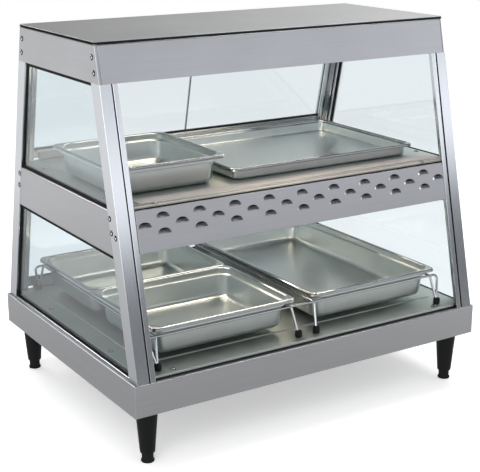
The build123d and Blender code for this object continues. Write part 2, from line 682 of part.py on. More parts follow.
def pan(width, length, depth, corner, flange, collar, shoulder, round_off):
    """Pressed steel pan with its rim at z = 0: lipped flange, collar, shoulder and tapered well."""
    def rounded(inset, z, height, taper=0.0):
        outline = RectangleRounded(width - 2 * inset, length - 2 * inset, corner - inset)
        return extrude(Pos(0, 0, z) * outline, amount=height, dir=(0, 0, -1), taper=taper)

    well = flange + shoulder
    shape = rounded(0, 0, PAN_LIP) - rounded(PAN_LIP_T, -PAN_WALL, PAN_LIP)
    shape += rounded(flange, 0, collar)
    bowl = rounded(well, -collar, depth - collar, PAN_TAPER)
    bowl = fillet(bowl.faces().sort_by(Axis.Z)[0].edges(), round_off + PAN_WALL)
    inner = rounded(well + PAN_WALL, -collar, depth - collar - PAN_WALL, PAN_TAPER)
    inner = fillet(inner.faces().sort_by(Axis.Z)[0].edges(), round_off)
    shape = shape + bowl - inner
    shape -= rounded(flange + PAN_WALL, 0, collar - PAN_WALL)
    return shape - rounded(well + PAN_WALL, PAN_WALL - collar, PAN_WALL)


def food_pan(length):
    """Food pan of standard width."""
    return pan(PAN_W, length, PAN_DEPTH, PAN_CORNER, PAN_FLANGE, PAN_COLLAR, PAN_SHOULDER, PAN_FILLET)


def bent_wire(*points):
    """Round wire from point to point, with its bends rounded."""
    path = FilletPolyline(*points, radius=WIRE_BEND)
    return sweep(Plane(origin=path @ 0, z_dir=path % 0) * Circle(WIRE_R), path=path)


def pan_rack():
    """Rack of two end wires and four side wires, which turn down at their ends and stand in boots."""
    inset = PAN_FLANGE + PAN_SHOULDER - WIRE_GAP - WIRE_R
    half_x, half_y = PAN_W / 2 - inset, PAN_L / 2 - inset
    inner_x, outer_x = RACK_X - half_x, RACK_X + half_x
    boot_x, boot_y = outer_x + BOOT_OUT_X, half_y + BOOT_OUT_Y
    foot_x = inner_x - BOOT_IN_X
    tip_z = DECK_TOP["base"] + BOOT_FLOOR
    wires = []
    for sign in (-1, 1):
        for x, tip_x in ((sign * inner_x, sign * foot_x), (sign * outer_x, sign * boot_x)):
            wires.append(bent_wire(
                (tip_x, -boot_y, tip_z), (x, -half_y, WIRE_Z), (x, half_y, WIRE_Z), (tip_x, boot_y, tip_z)
            ))
        reach, y = outer_x + WIRE_PAST, sign * half_y
        tip_y = sign * boot_y
        wires.append(bent_wire(
            (-boot_x, tip_y, tip_z), (-reach, y, WIRE_Z), (reach, y, WIRE_Z), (boot_x, tip_y, tip_z)
        ))
    frame = Pos(RACK_SHIFT, RACK_Y, 0) * (wires[0] + wires[1:])
    boots = []
    low, high = DECK_TOP["base"] + REST_GAP, DECK_TOP["base"] + BOOT_H
    for x in (-boot_x, -foot_x, foot_x, boot_x):
        for y in (RACK_Y - boot_y, RACK_Y + boot_y):
            boot = rod((RACK_SHIFT + x, y, low), (RACK_SHIFT + x, y, high), BOOT_R)
            boots.append(boot - frame)
    return frame, boots


# Base
save("base_shell", base_shell())
bottom_x, bottom_y = CASE_W / 2 - SHEET, CASE_D / 2 - SHEET
bottom = block(-bottom_x, bottom_x, -bottom_y, bottom_y, BASE_BOTTOM, FLOOR_IN)
bottom -= rod((GLAND_X, GLAND_Y, 0), (GLAND_X, GLAND_Y, FLOOR_IN), GLAND_THREAD_R + SCREW_FIT)
save("base_bottom_plate", bottom)
save("cable_gland", cable_gland())
terminal_x, terminal_y, terminal_z = TERMINAL
save("terminal_block", block(
    TERMINAL_X - terminal_x / 2, TERMINAL_X + terminal_x / 2,
    GLAND_Y - terminal_y / 2, GLAND_Y + terminal_y / 2, FLOOR_IN, FLOOR_IN + terminal_z,
))
leg_x, leg_y = CASE_W / 2 - LEG_IN_X, CASE_D / 2 - LEG_IN_Y
corners = [(sx * leg_x, sy * leg_y) for sy in (-1, 1) for sx in (-1, 1)]
save("legs", *[leg(x, y) for x, y in corners])
for (x, y), name in zip(corners, ("front_left", "front_right", "rear_left", "rear_right")):
    save(f"foot_{name}", foot(x, y))

# Heated decks with their seals, heaters, insulation and screws
deck_points = {level: deck_screw_points(level) for level in SEAL_Z}
up = (0, 0, 1)
for level, points in deck_points.items():
    save(f"{level}_deck", cut(deck(level), [screw_hole(p, up) for p in points]))
save("deck_screws", *[dome_screw(p, up) for points in deck_points.values() for p in points])
save("seals", *[deck_seal(level) for level in SEAL_Z], lid_seal())
mats, wools = [], []
mat_x = DECK_X - PAD_BORDER_X - MAT_BORDER
for level in SEAL_Z:
    mat_y = deck_y(level) - PAD_BORDER_Y[level] - MAT_BORDER
    mat_z = DECK_TOP[level] + PAD_H - SHEET - MAT_T
    mats.append(block(-mat_x, mat_x, -mat_y, mat_y, mat_z, mat_z + MAT_T))
    wools.append(block(-mat_x, mat_x, -mat_y, mat_y, mat_z - INSULATION_T, mat_z))
save("heater_mats", *mats)
save("insulation", *wools)

# Posts, with holes for the shelf's screws and the doors' pins
shelf_screw_at = [
    (FRAME_X, side * (face_y(SHELF_TOP - drop) - POST_SIDE + BAND_SCREW_IN), SHELF_TOP - drop)
    for side in (-1, 1) for drop in BAND_SCREW_Z
]
right = (1, 0, 0)
for side, name in ((-1, "front_posts"), (1, "rear_posts")):
    shape = cut(post(side), [screw_hole(p, right) for p in shelf_screw_at])
    if side > 0:
        shape = cut(shape, [pin_hole(carrier) for carrier, _ in HINGE_CARRIERS.values()])
    save(name, *pair_x(shape))
save("shelf_screws", *[s for p in shelf_screw_at for s in pair_x(dome_screw(p, right))])

# Shelf
save("shelf_front_fascia", shelf_front())
save("shelf_rear_fascia", fascia(1))
save("shelf_bands", *pair_x(shelf_band()))
under_y = face_y(SHELF_BOTTOM + 2 * SHEET) - 2 * SHEET
save("shelf_underside", block(
    -FASCIA_X, FASCIA_X, -under_y, under_y, SHELF_BOTTOM + SHEET, SHELF_BOTTOM + 2 * SHEET
))

# Canopy
end_screw_at = [
    (FRAME_X, side * (face_y(CANOPY_BOTTOM + rise) - END_SCREW_IN), CANOPY_BOTTOM + rise)
    for side in (-1, 1) for rise in END_SCREW_Z
]
save("canopy_front_panel", canopy_panel(-1))
save("canopy_rear_panel", canopy_panel(1))
save("canopy_ends", *pair_x(cut(canopy_end(), [screw_hole(p, right) for p in end_screw_at])))
save("canopy_underside", end_slab(
    SHEET - FRAME_X, FRAME_X - SHEET, SHEET, CANOPY_BOTTOM, CANOPY_BOTTOM + SHEET
))
save("canopy_top", end_slab(-FRAME_X, FRAME_X, 0, CASE_H - LID_T, CASE_H))
save("canopy_screws", *[s for p in end_screw_at for s in pair_x(dome_screw(p, right))])

# Side glass
for (low, high), name in zip(GLASS_LEVELS, ("lower", "upper")):
    save(f"side_glass_{name}", *pair_x(side_glass(low, high)))
save("glazing_gaskets", *[g for low, high in GLASS_LEVELS for g in pair_x(glazing_gasket(low, high))])

# Rear doors
for level, (carrier, floor_z) in HINGE_CARRIERS.items():
    glass, metal = door(carrier, floor_z)
    for name, sign in BOTH_X.items():
        save(f"door_glass_{level}_{name}", glass if sign > 0 else mirror(glass, Plane.YZ))
        save(f"door_rails_{level}_{name}", *[m if sign > 0 else mirror(m, Plane.YZ) for m in metal])
save("hinge_brackets", *[hinge_bracket(carrier) for carrier, _ in HINGE_CARRIERS.values()])
save("door_sills", *[door_sill(z) for z in DECK_TOP.values()])

# Lamps
upper_tube, upper_metal = lamp(CANOPY_BOTTOM)
lower_tube, lower_metal = lamp(SHELF_BOTTOM + SHEET)
save("lamp_tubes", upper_tube, lower_tube)
save("lamp_fittings", *upper_metal, *lower_metal)

# Controls
save("control_panel", control_panel())
save("thermostats", *[thermostat(x, PANEL_Y) for x in KNOB_X])
save("switch_housings", *[switch_housing(x, PANEL_Y) for x in SWITCH_X])
for number, (knob_x, switch_x) in enumerate(zip(KNOB_X, SWITCH_X), start=1):
    save(f"knob_{number}", knob(knob_x, PANEL_Y))
    save(f"rocker_{number}", rocker(switch_x, PANEL_Y))

# Rack, pans and tray
rack_wires, rack_boots = pan_rack()
save("pan_rack", rack_wires)
save("rack_boots", *rack_boots)
half_length = (PAN_L - PAN_SPLIT) / 2
half_shift = (half_length + PAN_SPLIT) / 2
save("full_pan", Pos(RACK_SHIFT + RACK_X, RACK_Y, RIM_Z) * food_pan(PAN_L))
save("half_pan_front", Pos(RACK_SHIFT - RACK_X, RACK_Y - half_shift, RIM_Z) * food_pan(half_length))
save("half_pan_rear", Pos(RACK_SHIFT - RACK_X, RACK_Y + half_shift, RIM_Z) * food_pan(half_length))
shelf_pan = pan(
    SHELF_PAN_W, SHELF_PAN_L, SHELF_PAN_DEPTH, PAN_CORNER, PAN_FLANGE, PAN_COLLAR, PAN_SHOULDER, PAN_FILLET
)
save("shelf_pan", Pos(SHELF_PAN_X, SHELF_PAN_Y, UPPER_FIELD + REST_GAP + SHELF_PAN_DEPTH) * shelf_pan)
tray = pan(TRAY_W, TRAY_L, TRAY_DEPTH, TRAY_CORNER, TRAY_FLANGE, PAN_LIP, PAN_LIP_T, TRAY_FILLET)
save("sheet_tray", Pos(TRAY_X, TRAY_Y, UPPER_FIELD + REST_GAP + TRAY_DEPTH) * tray)
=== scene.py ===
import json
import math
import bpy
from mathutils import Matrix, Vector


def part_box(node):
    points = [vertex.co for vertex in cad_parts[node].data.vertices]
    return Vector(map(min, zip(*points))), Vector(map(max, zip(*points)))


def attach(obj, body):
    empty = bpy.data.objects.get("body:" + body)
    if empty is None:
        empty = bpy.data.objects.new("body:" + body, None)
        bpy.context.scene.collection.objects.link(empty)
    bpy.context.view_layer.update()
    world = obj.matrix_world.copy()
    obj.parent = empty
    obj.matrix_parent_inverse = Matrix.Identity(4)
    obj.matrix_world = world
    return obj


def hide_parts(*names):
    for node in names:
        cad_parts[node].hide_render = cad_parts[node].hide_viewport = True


bl_info = {
    "name": "Heated Display Case",
    "version": (1, 0, 0),
    "blender": (4, 5, 0),
    "location": "View3D > Sidebar > Display Case",
    "description": "Models and finishes a counter-top heated display case on its CAD frame",
    "category": "Object",
}

from collections import namedtuple
from contextlib import contextmanager

import bmesh
import bpy
from bpy.props import FloatProperty, FloatVectorProperty, IntProperty, PointerProperty
from mathutils import Matrix, Vector

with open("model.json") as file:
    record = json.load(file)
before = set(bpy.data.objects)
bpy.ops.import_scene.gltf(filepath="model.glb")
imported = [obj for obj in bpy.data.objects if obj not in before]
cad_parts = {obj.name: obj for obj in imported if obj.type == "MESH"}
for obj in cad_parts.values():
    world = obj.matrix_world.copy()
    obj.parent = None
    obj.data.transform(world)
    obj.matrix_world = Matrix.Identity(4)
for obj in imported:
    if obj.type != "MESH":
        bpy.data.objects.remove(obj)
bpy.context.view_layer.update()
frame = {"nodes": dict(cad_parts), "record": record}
RECORD = frame["record"]
BODY_OF = {node: body for body, nodes in RECORD["behaviour"]["bodies"].items() for node in nodes}
SLOT_OF = {part["node"]: part["material_slot"] for part in RECORD["subparts"]}
MM = 0.001


def linear(code):
    """Linear RGB of an sRGB hex colour."""
    values = [int(code[i:i + 2], 16) / 255 for i in (1, 3, 5)]
    return tuple(v / 12.92 if v <= 0.04045 else ((v + 0.055) / 1.055) ** 2.4 for v in values)


def colour(label, about, code):
    """Colour property with a hex default."""
    return FloatVectorProperty(
        name=label, description=about, subtype="COLOR", size=3, min=0.0, max=1.0, default=linear(code)
    )


def length(label, about, millimetres):
    """Length property with a default in millimetres."""
    return FloatProperty(
        name=label, description=about, unit="LENGTH", min=0.0, precision=5, default=millimetres * MM
    )


class CaseSizes(bpy.types.PropertyGroup):
    """Sizes of the details that the frame leaves plain."""

    fold: length("Sheet fold", "Outside radius of the folds in the sheet metal", 2.2)
    cut_edge: length("Cut edge", "Rounding of a cut sheet edge", 0.25)
    deck_fold: length("Deck fold", "Outside radius of the folds of the decks and of the shelf's front", 1.1)
    deck_seam: length("Deck seam", "Front edge of the upper deck to the seam through its screws", 8.5)
    seam_width: length("Seam width", "Width of the seam in the upper deck", 2.0)
    seam_depth: length("Seam depth", "Depth of the seam in the upper deck", 0.6)
    border_fall: length("Border fall", "How much the upper deck's front edge lies below its border", 3.0)
    # Painted highlight: depth of the cream colour that stands in for the warm light reflected along the upper
    # deck's front
    trim: length("Trim", "Depth of the warm enamel along the upper deck's front", 48.0)
    post_width: length("Post width", "Width of a post's front", 38.0)
    post_inner: length("Post inner edge", "Thickness of the inner edge of a front post", 4.5)
    post_corner: length("Post corner", "Rounding of the posts' long outside corners", 2.0)
    # A post's groove is finished black, as painted shade: it then reads as a dark line
    groove_at: length("Groove place", "Outer edge of a post to its black strip", 24.0)
    groove_width: length("Groove width", "Width of the black strip in a post", 3.0)
    groove_round: length("Groove rounding", "Rounding of the inner edge of a post's groove", 1.8)
    flute_pitch: length("Flute pitch", "Spacing of the flutes inside the rear posts", 5.0)
    flute_depth: length("Flute depth", "Depth of the flutes inside the rear posts", 1.0)
    # Painted shade: a black ring under each screw head stands in for the dark gap and shade round it
    washer: length("Washer", "Radius of the dark washer under a screw", 5.6)
    recess: length("Screw recess", "Width of each arm of the cross recess", 1.5)
    corner_fold: length("Corner fold", "Outside radius of the canopy ends' folded corners", 3.0)
    corner_return: length("Corner return", "Width of the return of a canopy end across the front", 4.0)
    corner_gap: length("Corner gap", "Open seam between a return and the panel beside it", 0.8)
    lid_seam: length("Lid seam", "Panels' upper edges below the CAD's, where the lid's black seal shows", 3.0)
    louvre_width: length("Louvre width", "Width of a half-moon in the shelf's front", 29.0)
    louvre_height: length("Louvre height", "Height of a half-moon in the shelf's front", 10.5)
    louvre_pitch: length("Louvre pitch", "Spacing of the half-moons in a row", 78.0)
    louvre_depth: length("Louvre depth", "How far a louvre's flap is pressed in under its arch", 7.0)
    glass_edge: length("Glass edge", "Ground edge of the panes", 0.5)
    gasket_drop: length("Gasket drop", "Upper run of a side pane's gasket below the CAD's", 2.5)
    bead: length("Glazing bead", "Height of the beads on the base outside the lower panes", 3.5)
    strip: length("Rail strip", "Height of the black strip along the top of a door's rail", 4.0)
    panel_depth: length("Panel depth", "Depth of the control panel's tray", 18.8)
    pan_wall: length("Pan wall", "Thickness of the pressed pans", 1.0)
    rim_clear: length("Rim clearance", "Pans' rims inside the CAD's, so that lifted pans clear the doors", 0.6)
    round_sides: IntProperty(name="Round sides", description="Sides of the legs and feet", default=40, min=12)


class CaseColours(bpy.types.PropertyGroup):
    """Colours of the finishes."""

    stainless: colour("Stainless sheet", "Brushed stainless steel of the case", "#C2C3C6")
    deck: colour("Deck", "Polished stainless steel of the heated decks", "#CDD2CC")
    pan: colour("Pan", "Pressed stainless steel of the pans", "#DAE0DE")
    pan_rim: colour("Pan rim", "Polished rims of the pans", "#C6CACC")
    chrome: colour("Chrome", "Plated wire of the rack", "#D5D8DB")
    screw: colour("Screw", "Polished stainless screw heads", "#CFD1D3")
    post: colour("Post", "Anodised aluminium of the posts and rails", "#DADDE1")
    reflector: colour("Reflector", "Bright aluminium round the lamps", "#DADBDC")
    glass: colour("Glass", "Body of the clear panes", "#EDF5F8")
    glass_edge: colour("Glass edge", "Ground edges of the panes", "#1C352E")
    # Painted highlight: cream colour in place of the warm light reflected along the upper deck's front
    trim: colour("Deck trim", "Warm enamel along the upper deck's front", "#CFC4BE")
    rubber: colour("Rubber", "Seals, gaskets, boots and foot pads", "#0B0B0C")
    plastic: colour("Black plastic", "Legs, knobs and switch housings", "#0F1112")
    rocker: colour("Rocker", "Glossy rockers", "#121214")
    ceramic: colour("Ceramic", "Terminal block", "#D8D5CB")
    heater: colour("Heater", "Heater mats under the decks", "#B4613A")
    wool: colour("Wool", "Insulation under the heaters", "#C7BB92")
    lamp: colour("Lamp", "Glow of the heat lamps", "#FFF1E0")
    mark: colour("Marks", "Printed marks at the controls", "#E9E9E6")
    backdrop: colour("Backdrop", "Floor under the case", "#F4F4F4")


def sizes():
    """Size properties of the scene."""
    return bpy.context.scene.case_sizes


def colours():
    """Colour properties of the scene."""
    return bpy.context.scene.case_colours


# Shader nodes


def add(tree, kind, inputs=None, **settings):
    """Add a node; each input is a value, or a socket to link from."""
    node = tree.nodes.new(kind)
    for name, value in settings.items():
        setattr(node, name, value)
    for name, value in (inputs or {}).items():
        if isinstance(value, bpy.types.NodeSocket):
            tree.links.new(value, node.inputs[name])
        else:
            node.inputs[name].default_value = value
    return node


def shades(value, darker):
    """A colour and a darker share of it, as RGBA."""
    return (*value, 1.0), (*[v * darker for v in value], 1.0)


def start_finish(name):
    """New material with its tree and the object coordinates."""
    material = bpy.data.materials.new(name)
    material.use_nodes = True
    tree = material.node_tree
    tree.nodes.clear()
    return material, tree, add(tree, "ShaderNodeTexCoord")


def end_finish(tree, shader):
    """Send a shader to the material output."""
    add(tree, "ShaderNodeOutputMaterial", {"Surface": shader.outputs[0]})


def grain(tree, at, along, across, stretch):
    """Noise drawn out along one axis; sizes in millimetres."""
    scale = [1 / (across * MM)] * 3
    scale["XYZ".index(stretch)] = 1 / (along * MM)
    placed = add(tree, "ShaderNodeMapping", {"Vector": at.outputs["Object"], "Scale": scale})
    return add(tree, "ShaderNodeTexNoise", {
        "Vector": placed.outputs[0], "Scale": 1.0, "Detail": 4.0, "Roughness": 0.6
    }).outputs[0]


def brushed_stainless(name, value, low_rough, high_rough):
    """Cold-rolled stainless sheet, belt-brushed along its length.

    The eye sees a soft cool grey with faint lines along the sheet and a slow change of gloss; on the
    ends the lines run front to back. The real lines are 0.1 mm apart, so they are drawn 2.5 mm wide to show.
    """
    material, tree, at = start_finish(name)
    lines = grain(tree, at, 160, 2.5, "X")
    end_lines = grain(tree, at, 160, 2.5, "Y")
    facing = add(tree, "ShaderNodeSeparateXYZ", {0: at.outputs["Normal"]})
    side = add(tree, "ShaderNodeMath", {0: facing.outputs[0]}, operation="ABSOLUTE")
    is_end = add(tree, "ShaderNodeMath", {0: side.outputs[0], 1: 0.7}, operation="GREATER_THAN")
    brush = add(tree, "ShaderNodeMix", {
        "Factor": is_end.outputs[0], "A": lines, "B": end_lines
    }, data_type="FLOAT").outputs["Result"]
    cloud = add(tree, "ShaderNodeTexNoise", {
        "Vector": at.outputs["Object"], "Scale": 1 / (140 * MM), "Detail": 2.0
    })
    light, dark = shades(value, 0.86)
    tone = add(tree, "ShaderNodeMix", {"Factor": brush, "A": dark, "B": light}, data_type="RGBA")
    rough = add(tree, "ShaderNodeMapRange", {
        "Value": cloud.outputs[0], "From Min": 0.3, "From Max": 0.7, "To Min": low_rough, "To Max": high_rough
    })
    bump = add(tree, "ShaderNodeBump", {"Height": brush, "Strength": 0.12, "Distance": 0.05 * MM})
    end_finish(tree, add(tree, "ShaderNodeBsdfPrincipled", {
        "Base Color": tone.outputs["Result"], "Roughness": rough.outputs[0], "Metallic": 1.0,
        "Normal": bump.outputs[0],
    }))
    return material


def rolled_metal(name, value, low_rough, high_rough, cloud_mm, darker):
    """Bright rolled or plated metal with slow clouds in its colour and gloss, as from wiping and heat."""
    material, tree, at = start_finish(name)
    cloud = add(tree, "ShaderNodeTexNoise", {
        "Vector": at.outputs["Object"], "Scale": 1 / (cloud_mm * MM), "Detail": 5.0, "Roughness": 0.55
    })
    light, dark = shades(value, darker)
    tone = add(tree, "ShaderNodeMix", {"Factor": cloud.outputs[0], "A": dark, "B": light}, data_type="RGBA")
    rough = add(tree, "ShaderNodeMapRange", {
        "Value": cloud.outputs[0], "From Min": 0.35, "From Max": 0.65, "To Min": low_rough, "To Max": high_rough
    })
    end_finish(tree, add(tree, "ShaderNodeBsdfPrincipled", {
        "Base Color": tone.outputs["Result"], "Roughness": rough.outputs[0], "Metallic": 1.0
    }))
    return material


def anodised_aluminium(name, value):
    """Extruded aluminium with a satin anodised skin: pale, with die lines along each post."""
    material, tree, at = start_finish(name)
    lines = grain(tree, at, 900, 1.8, "Z")
    light, dark = shades(value, 0.88)
    tone = add(tree, "ShaderNodeMix", {"Factor": lines, "A": dark, "B": light}, data_type="RGBA")
    rough = add(tree, "ShaderNodeMapRange", {"Value": lines, "To Min": 0.11, "To Max": 0.17})
    bump = add(tree, "ShaderNodeBump", {"Height": lines, "Strength": 0.15, "Distance": 0.05 * MM})
    end_finish(tree, add(tree, "ShaderNodeBsdfPrincipled", {
        "Base Color": tone.outputs["Result"], "Roughness": rough.outputs[0], "Metallic": 1.0,
        "Normal": bump.outputs[0],
    }))
    return material


def float_glass(name, value, rough):
    """Float glass, unevenly clear as after wiping; lamps shine through it."""
    material, tree, at = start_finish(name)
    smear = add(tree, "ShaderNodeTexNoise", {
        "Vector": at.outputs["Object"], "Scale": 1 / (90 * MM), "Detail": 3.0
    })
    light, dark = shades(value, 0.985)
    tone = add(tree, "ShaderNodeMix", {"Factor": smear.outputs[0], "A": dark, "B": light}, data_type="RGBA")
    glass = add(tree, "ShaderNodeBsdfPrincipled", {
        "Base Color": tone.outputs["Result"], "Roughness": rough, "IOR": 1.5, "Transmission Weight": 1.0
    })
    path = add(tree, "ShaderNodeLightPath")
    clear = add(tree, "ShaderNodeBsdfTransparent", {"Color": (*value, 1.0)})
    end_finish(tree, add(tree, "ShaderNodeMixShader", {
        0: path.outputs["Is Shadow Ray"], 1: glass.outputs[0], 2: clear.outputs[0]
    }))
    return material


def moulded(name, value, rough, grain_mm, depth_mm, shine=0.5):
    """Moulded, enamelled or printed surface: one colour, broken by a fine grain and slow wear."""
    material, tree, at = start_finish(name)
    skin = add(tree, "ShaderNodeTexNoise", {
        "Vector": at.outputs["Object"], "Scale": 1 / (grain_mm * MM), "Detail": 3.0
    })
    wear = add(tree, "ShaderNodeTexNoise", {
        "Vector": at.outputs["Object"], "Scale": 1 / (25 * MM), "Detail": 2.0
    }).outputs[0]
    light, dark = shades(value, 0.7)
    tone = add(tree, "ShaderNodeMix", {"Factor": wear, "A": dark, "B": light}, data_type="RGBA")
    gloss = add(tree, "ShaderNodeMapRange", {
        "Value": wear, "From Min": 0.3, "From Max": 0.7, "To Min": rough - 0.06, "To Max": rough + 0.06
    })
    bump = add(tree, "ShaderNodeBump", {"Height": skin.outputs[0], "Strength": 0.2, "Distance": depth_mm * MM})
    end_finish(tree, add(tree, "ShaderNodeBsdfPrincipled", {
        "Base Color": tone.outputs["Result"], "Roughness": gloss.outputs[0], "Normal": bump.outputs[0],
        "Specular IOR Level": shine,
    }))
    return material


def glowing_quartz(name, value):
    """Frosted quartz of a heat lamp that is on: a warm glow, a little uneven along the tube."""
    material, tree, at = start_finish(name)
    frost = add(tree, "ShaderNodeTexNoise", {
        "Vector": at.outputs["Object"], "Scale": 1 / (40 * MM), "Detail": 2.0
    })
    light, dark = shades(value, 0.85)
    tone = add(tree, "ShaderNodeMix", {"Factor": frost.outputs[0], "A": dark, "B": light}, data_type="RGBA")
    end_finish(tree, add(tree, "ShaderNodeBsdfPrincipled", {
        "Base Color": tone.outputs["Result"], "Roughness": 0.35,
        "Emission Color": tone.outputs["Result"], "Emission Strength": 16.0,
    }))
    return material


# Each finish: its maker, the material's name, its colour and the maker's other settings.
# A metal's roughness stays on one side of 0.274: below that the renderer's noise filter takes metal for a
# mirror, and a finish that crosses it comes out with specks.
RECIPES = {
    # Brushed sheet: soft cool grey with faint lines
    "stainless_sheet": (brushed_stainless, "brushed_stainless_sheet", "stainless", 0.28, 0.34),
    # Heated decks, dulled by use: what stands on them shows as a blur
    "polished_deck": (rolled_metal, "polished_stainless_deck", "deck", 0.46, 0.55, 60, 0.86),
    # Drawn pans: satin, with soft highlights in their rounded corners
    "pan_steel": (rolled_metal, "pressed_stainless_pan", "pan", 0.28, 0.36, 35, 0.88),
    # Rolled rims, polished: thin sharp highlights
    "pan_rim": (rolled_metal, "polished_stainless_rim", "pan_rim", 0.08, 0.14, 35, 0.90),
    # Chrome on bent wire: nearly a mirror
    "chromed_wire": (rolled_metal, "chrome_plated_wire", "chrome", 0.05, 0.10, 12, 0.90),
    # Turned heads: small bright points
    "screw_steel": (rolled_metal, "polished_stainless_screw", "screw", 0.10, 0.18, 6, 0.85),
    # Bright rolled strip behind the lamps: blurred mirror
    "reflector_aluminium": (rolled_metal, "bright_reflector_aluminium", "reflector", 0.10, 0.18, 50, 0.9),
    # Satin extrusion: pale, with fine lines along it
    "post_aluminium": (anodised_aluminium, "satin_anodised_aluminium", "post"),
    # Clear panes: nearly invisible face on, with a faint cool tint
    "clear_glass": (float_glass, "clear_float_glass", "glass", 0.0),
    # Ground edges: dark green and frosted
    "glass_edge": (float_glass, "ground_glass_edge", "glass_edge", 0.35),
    # Painted highlight: cream and half matt, in place of the warm light reflected along the upper deck's front
    "deck_trim": (moulded, "cream_enamel_trim", "trim", 0.40, 0.8, 0.02),
    # Rubber: black and dull
    "black_rubber": (moulded, "black_epdm_rubber", "rubber", 0.8, 0.8, 0.06),
    # Nylon: black, with a low sheen
    "black_plastic": (moulded, "moulded_black_nylon", "plastic", 0.52, 0.6, 0.05, 0.25),
    # Polycarbonate: black, with clear highlights
    "rocker_plastic": (moulded, "glossy_black_polycarbonate", "rocker", 0.16, 0.8, 0.02),
    # Unglazed ceramic: off-white and dull
    "white_plastic": (moulded, "white_ceramic_block", "ceramic", 0.5, 0.8, 0.04),
    # Silicone rubber: rust red, with the weave of its glass cloth as a fine grain
    "heater_film": (moulded, "silicone_heater_mat", "heater", 0.55, 1.2, 0.10),
    # Wool: straw-coloured and deeply uneven
    "mineral_wool": (moulded, "mineral_wool_blanket", "wool", 0.92, 2.5, 0.8),
    # Frosted tube: a warm glow
    "lamp_quartz": (glowing_quartz, "glowing_frosted_quartz", "lamp"),
    # Printing ink, black on metal and white on plastic: flat and half matt
    "dark_print": (moulded, "black_pad_print", "plastic", 0.55, 0.8, 0.01),
    "print": (moulded, "white_pad_print", "mark", 0.55, 0.8, 0.01),
}
FINISHES = {}


def finish(name):
    """Material for a finish, made once."""
    if name not in FINISHES:
        maker, label, shade, *settings = RECIPES[name]
        FINISHES[name] = maker(label, getattr(colours(), shade), *settings)
    return FINISHES[name]


# Modelling by operators


def only(piece):
    """Select one object and make it active."""
    bpy.ops.object.select_all(action="DESELECT")
    piece.select_set(True)
    bpy.context.view_layer.objects.active = piece


def join(first, *others):
    """Join pieces into the first."""
    only(first)
    for piece in others:
        piece.select_set(True)
    if others:
        bpy.ops.object.join()
    return first


@contextmanager
def editing(piece):
    """Edit mode on one object, with all of its mesh selected."""
    only(piece)
    bpy.ops.object.mode_set(mode="EDIT")
    bpy.ops.mesh.select_all(action="SELECT")
    yield
    bpy.ops.object.mode_set(mode="OBJECT")


def pick(kind, test):
    """Select the vertices, edges or faces of the edited mesh that pass a test."""
    bpy.ops.mesh.select_mode(type=kind)
    bpy.ops.mesh.select_all(action="DESELECT")
    data = bpy.context.edit_object.data
    mesh = bmesh.from_edit_mesh(data)
    parts = {"VERT": mesh.verts, "EDGE": mesh.edges, "FACE": mesh.faces}[kind]
    chosen = [part for part in parts if test(part)]
    if not chosen:
        raise RuntimeError("nothing to select on " + data.name)
    for part in chosen:
        part.select_set(True)
    mesh.select_flush_mode()
    bmesh.update_edit_mesh(data)


def middle(part):
    """Middle of an edge or a face."""
    if isinstance(part, bmesh.types.BMFace):
        return part.calc_center_median()
    return sum((v.co for v in part.verts), Vector()) / len(part.verts)


def is_fold(edge):
    """True for an outside corner between two faces that are wider than the sheet is thick."""
    if len(edge.link_faces) != 2 or not edge.is_convex or edge.calc_face_angle() < math.radians(60):
        return False
    return all(face.calc_area() / face.calc_perimeter() > 1 * MM for face in edge.link_faces)


def turn_outward():
    """Select all of the edited mesh and turn its faces outward."""
    bpy.ops.mesh.select_all(action="SELECT")
    bpy.ops.mesh.normals_make_consistent(inside=False)


def modify(piece, kind, **settings):
    """Add a modifier to a piece and apply it."""
    only(piece)
    bpy.ops.object.modifier_add(type=kind)
    modifier = piece.modifiers[-1]
    for name, value in settings.items():
        setattr(modifier, name, value)
    bpy.ops.object.modifier_apply(modifier=modifier.name)


def cut(piece, cutter):
    """Cut a shape out of a piece and remove the shape."""
    modify(piece, "BOOLEAN", operation="DIFFERENCE", object=cutter, solver="EXACT")
    bpy.data.objects.remove(cutter)


def smooth(piece, degrees=40):
    """Smooth shading that keeps wide faces flat beside their rounded edges."""
    only(piece)
    bpy.ops.object.shade_smooth_by_angle(angle=math.radians(degrees))
    modify(piece, "WEIGHTED_NORMAL", keep_sharp=True, weight=80)


def stand_for(piece, node, *more):
    """A finished piece takes the place, body, slot and finish of its CAD node."""
    parts = [face.material_index for face in piece.data.polygons]
    piece.data.materials.clear()
    for name in (SLOT_OF[node], *more):
        piece.data.materials.append(finish(name))
    piece.data.polygons.foreach_set("material_index", parts)
    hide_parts(node)
    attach(piece, BODY_OF[node])
    return piece


def merge_flat():
    """Merge the edited mesh's flat faces."""
    bpy.ops.mesh.dissolve_limited(angle_limit=math.radians(0.3))


def copy_of(node):
    """Merged copy of a CAD node's mesh with its flat faces whole."""
    data = frame["nodes"][node].data.copy()
    piece = bpy.data.objects.new(node + "_made", data)
    bpy.context.scene.collection.objects.link(piece)
    data.materials.clear()
    with editing(piece):
        bpy.ops.mesh.remove_doubles(threshold=0.002 * MM)
        merge_flat()
    return piece


def round_edges(piece, width, segments=2):
    """Round every sharp edge of a piece a little."""
    modify(
        piece, "BEVEL", width=width, segments=segments, limit_method="ANGLE", angle_limit=math.radians(40)
    )


def eased(node, width, segments=2, shape=None):
    """Copy of a CAD node, shaped further if need be, with its edges rounded."""
    piece = copy_of(node)
    if shape:
        with editing(piece):
            shape(node)
    round_edges(piece, width, segments)
    smooth(piece)
    return piece


def fold_edges(fold):
    """Round the folds of the edited sheet."""
    pick("EDGE", is_fold)
    bpy.ops.mesh.bevel(offset=fold, segments=4, affect="EDGES")


def folded(node, fold, *more, shape=None):
    """Sheet-metal piece with rounded folds and eased cut edges, shaped further before it is folded."""
    def bend(node):
        if shape:
            shape(node)
        fold_edges(fold)

    return stand_for(eased(node, sizes().cut_edge, 1, bend), node, *more)


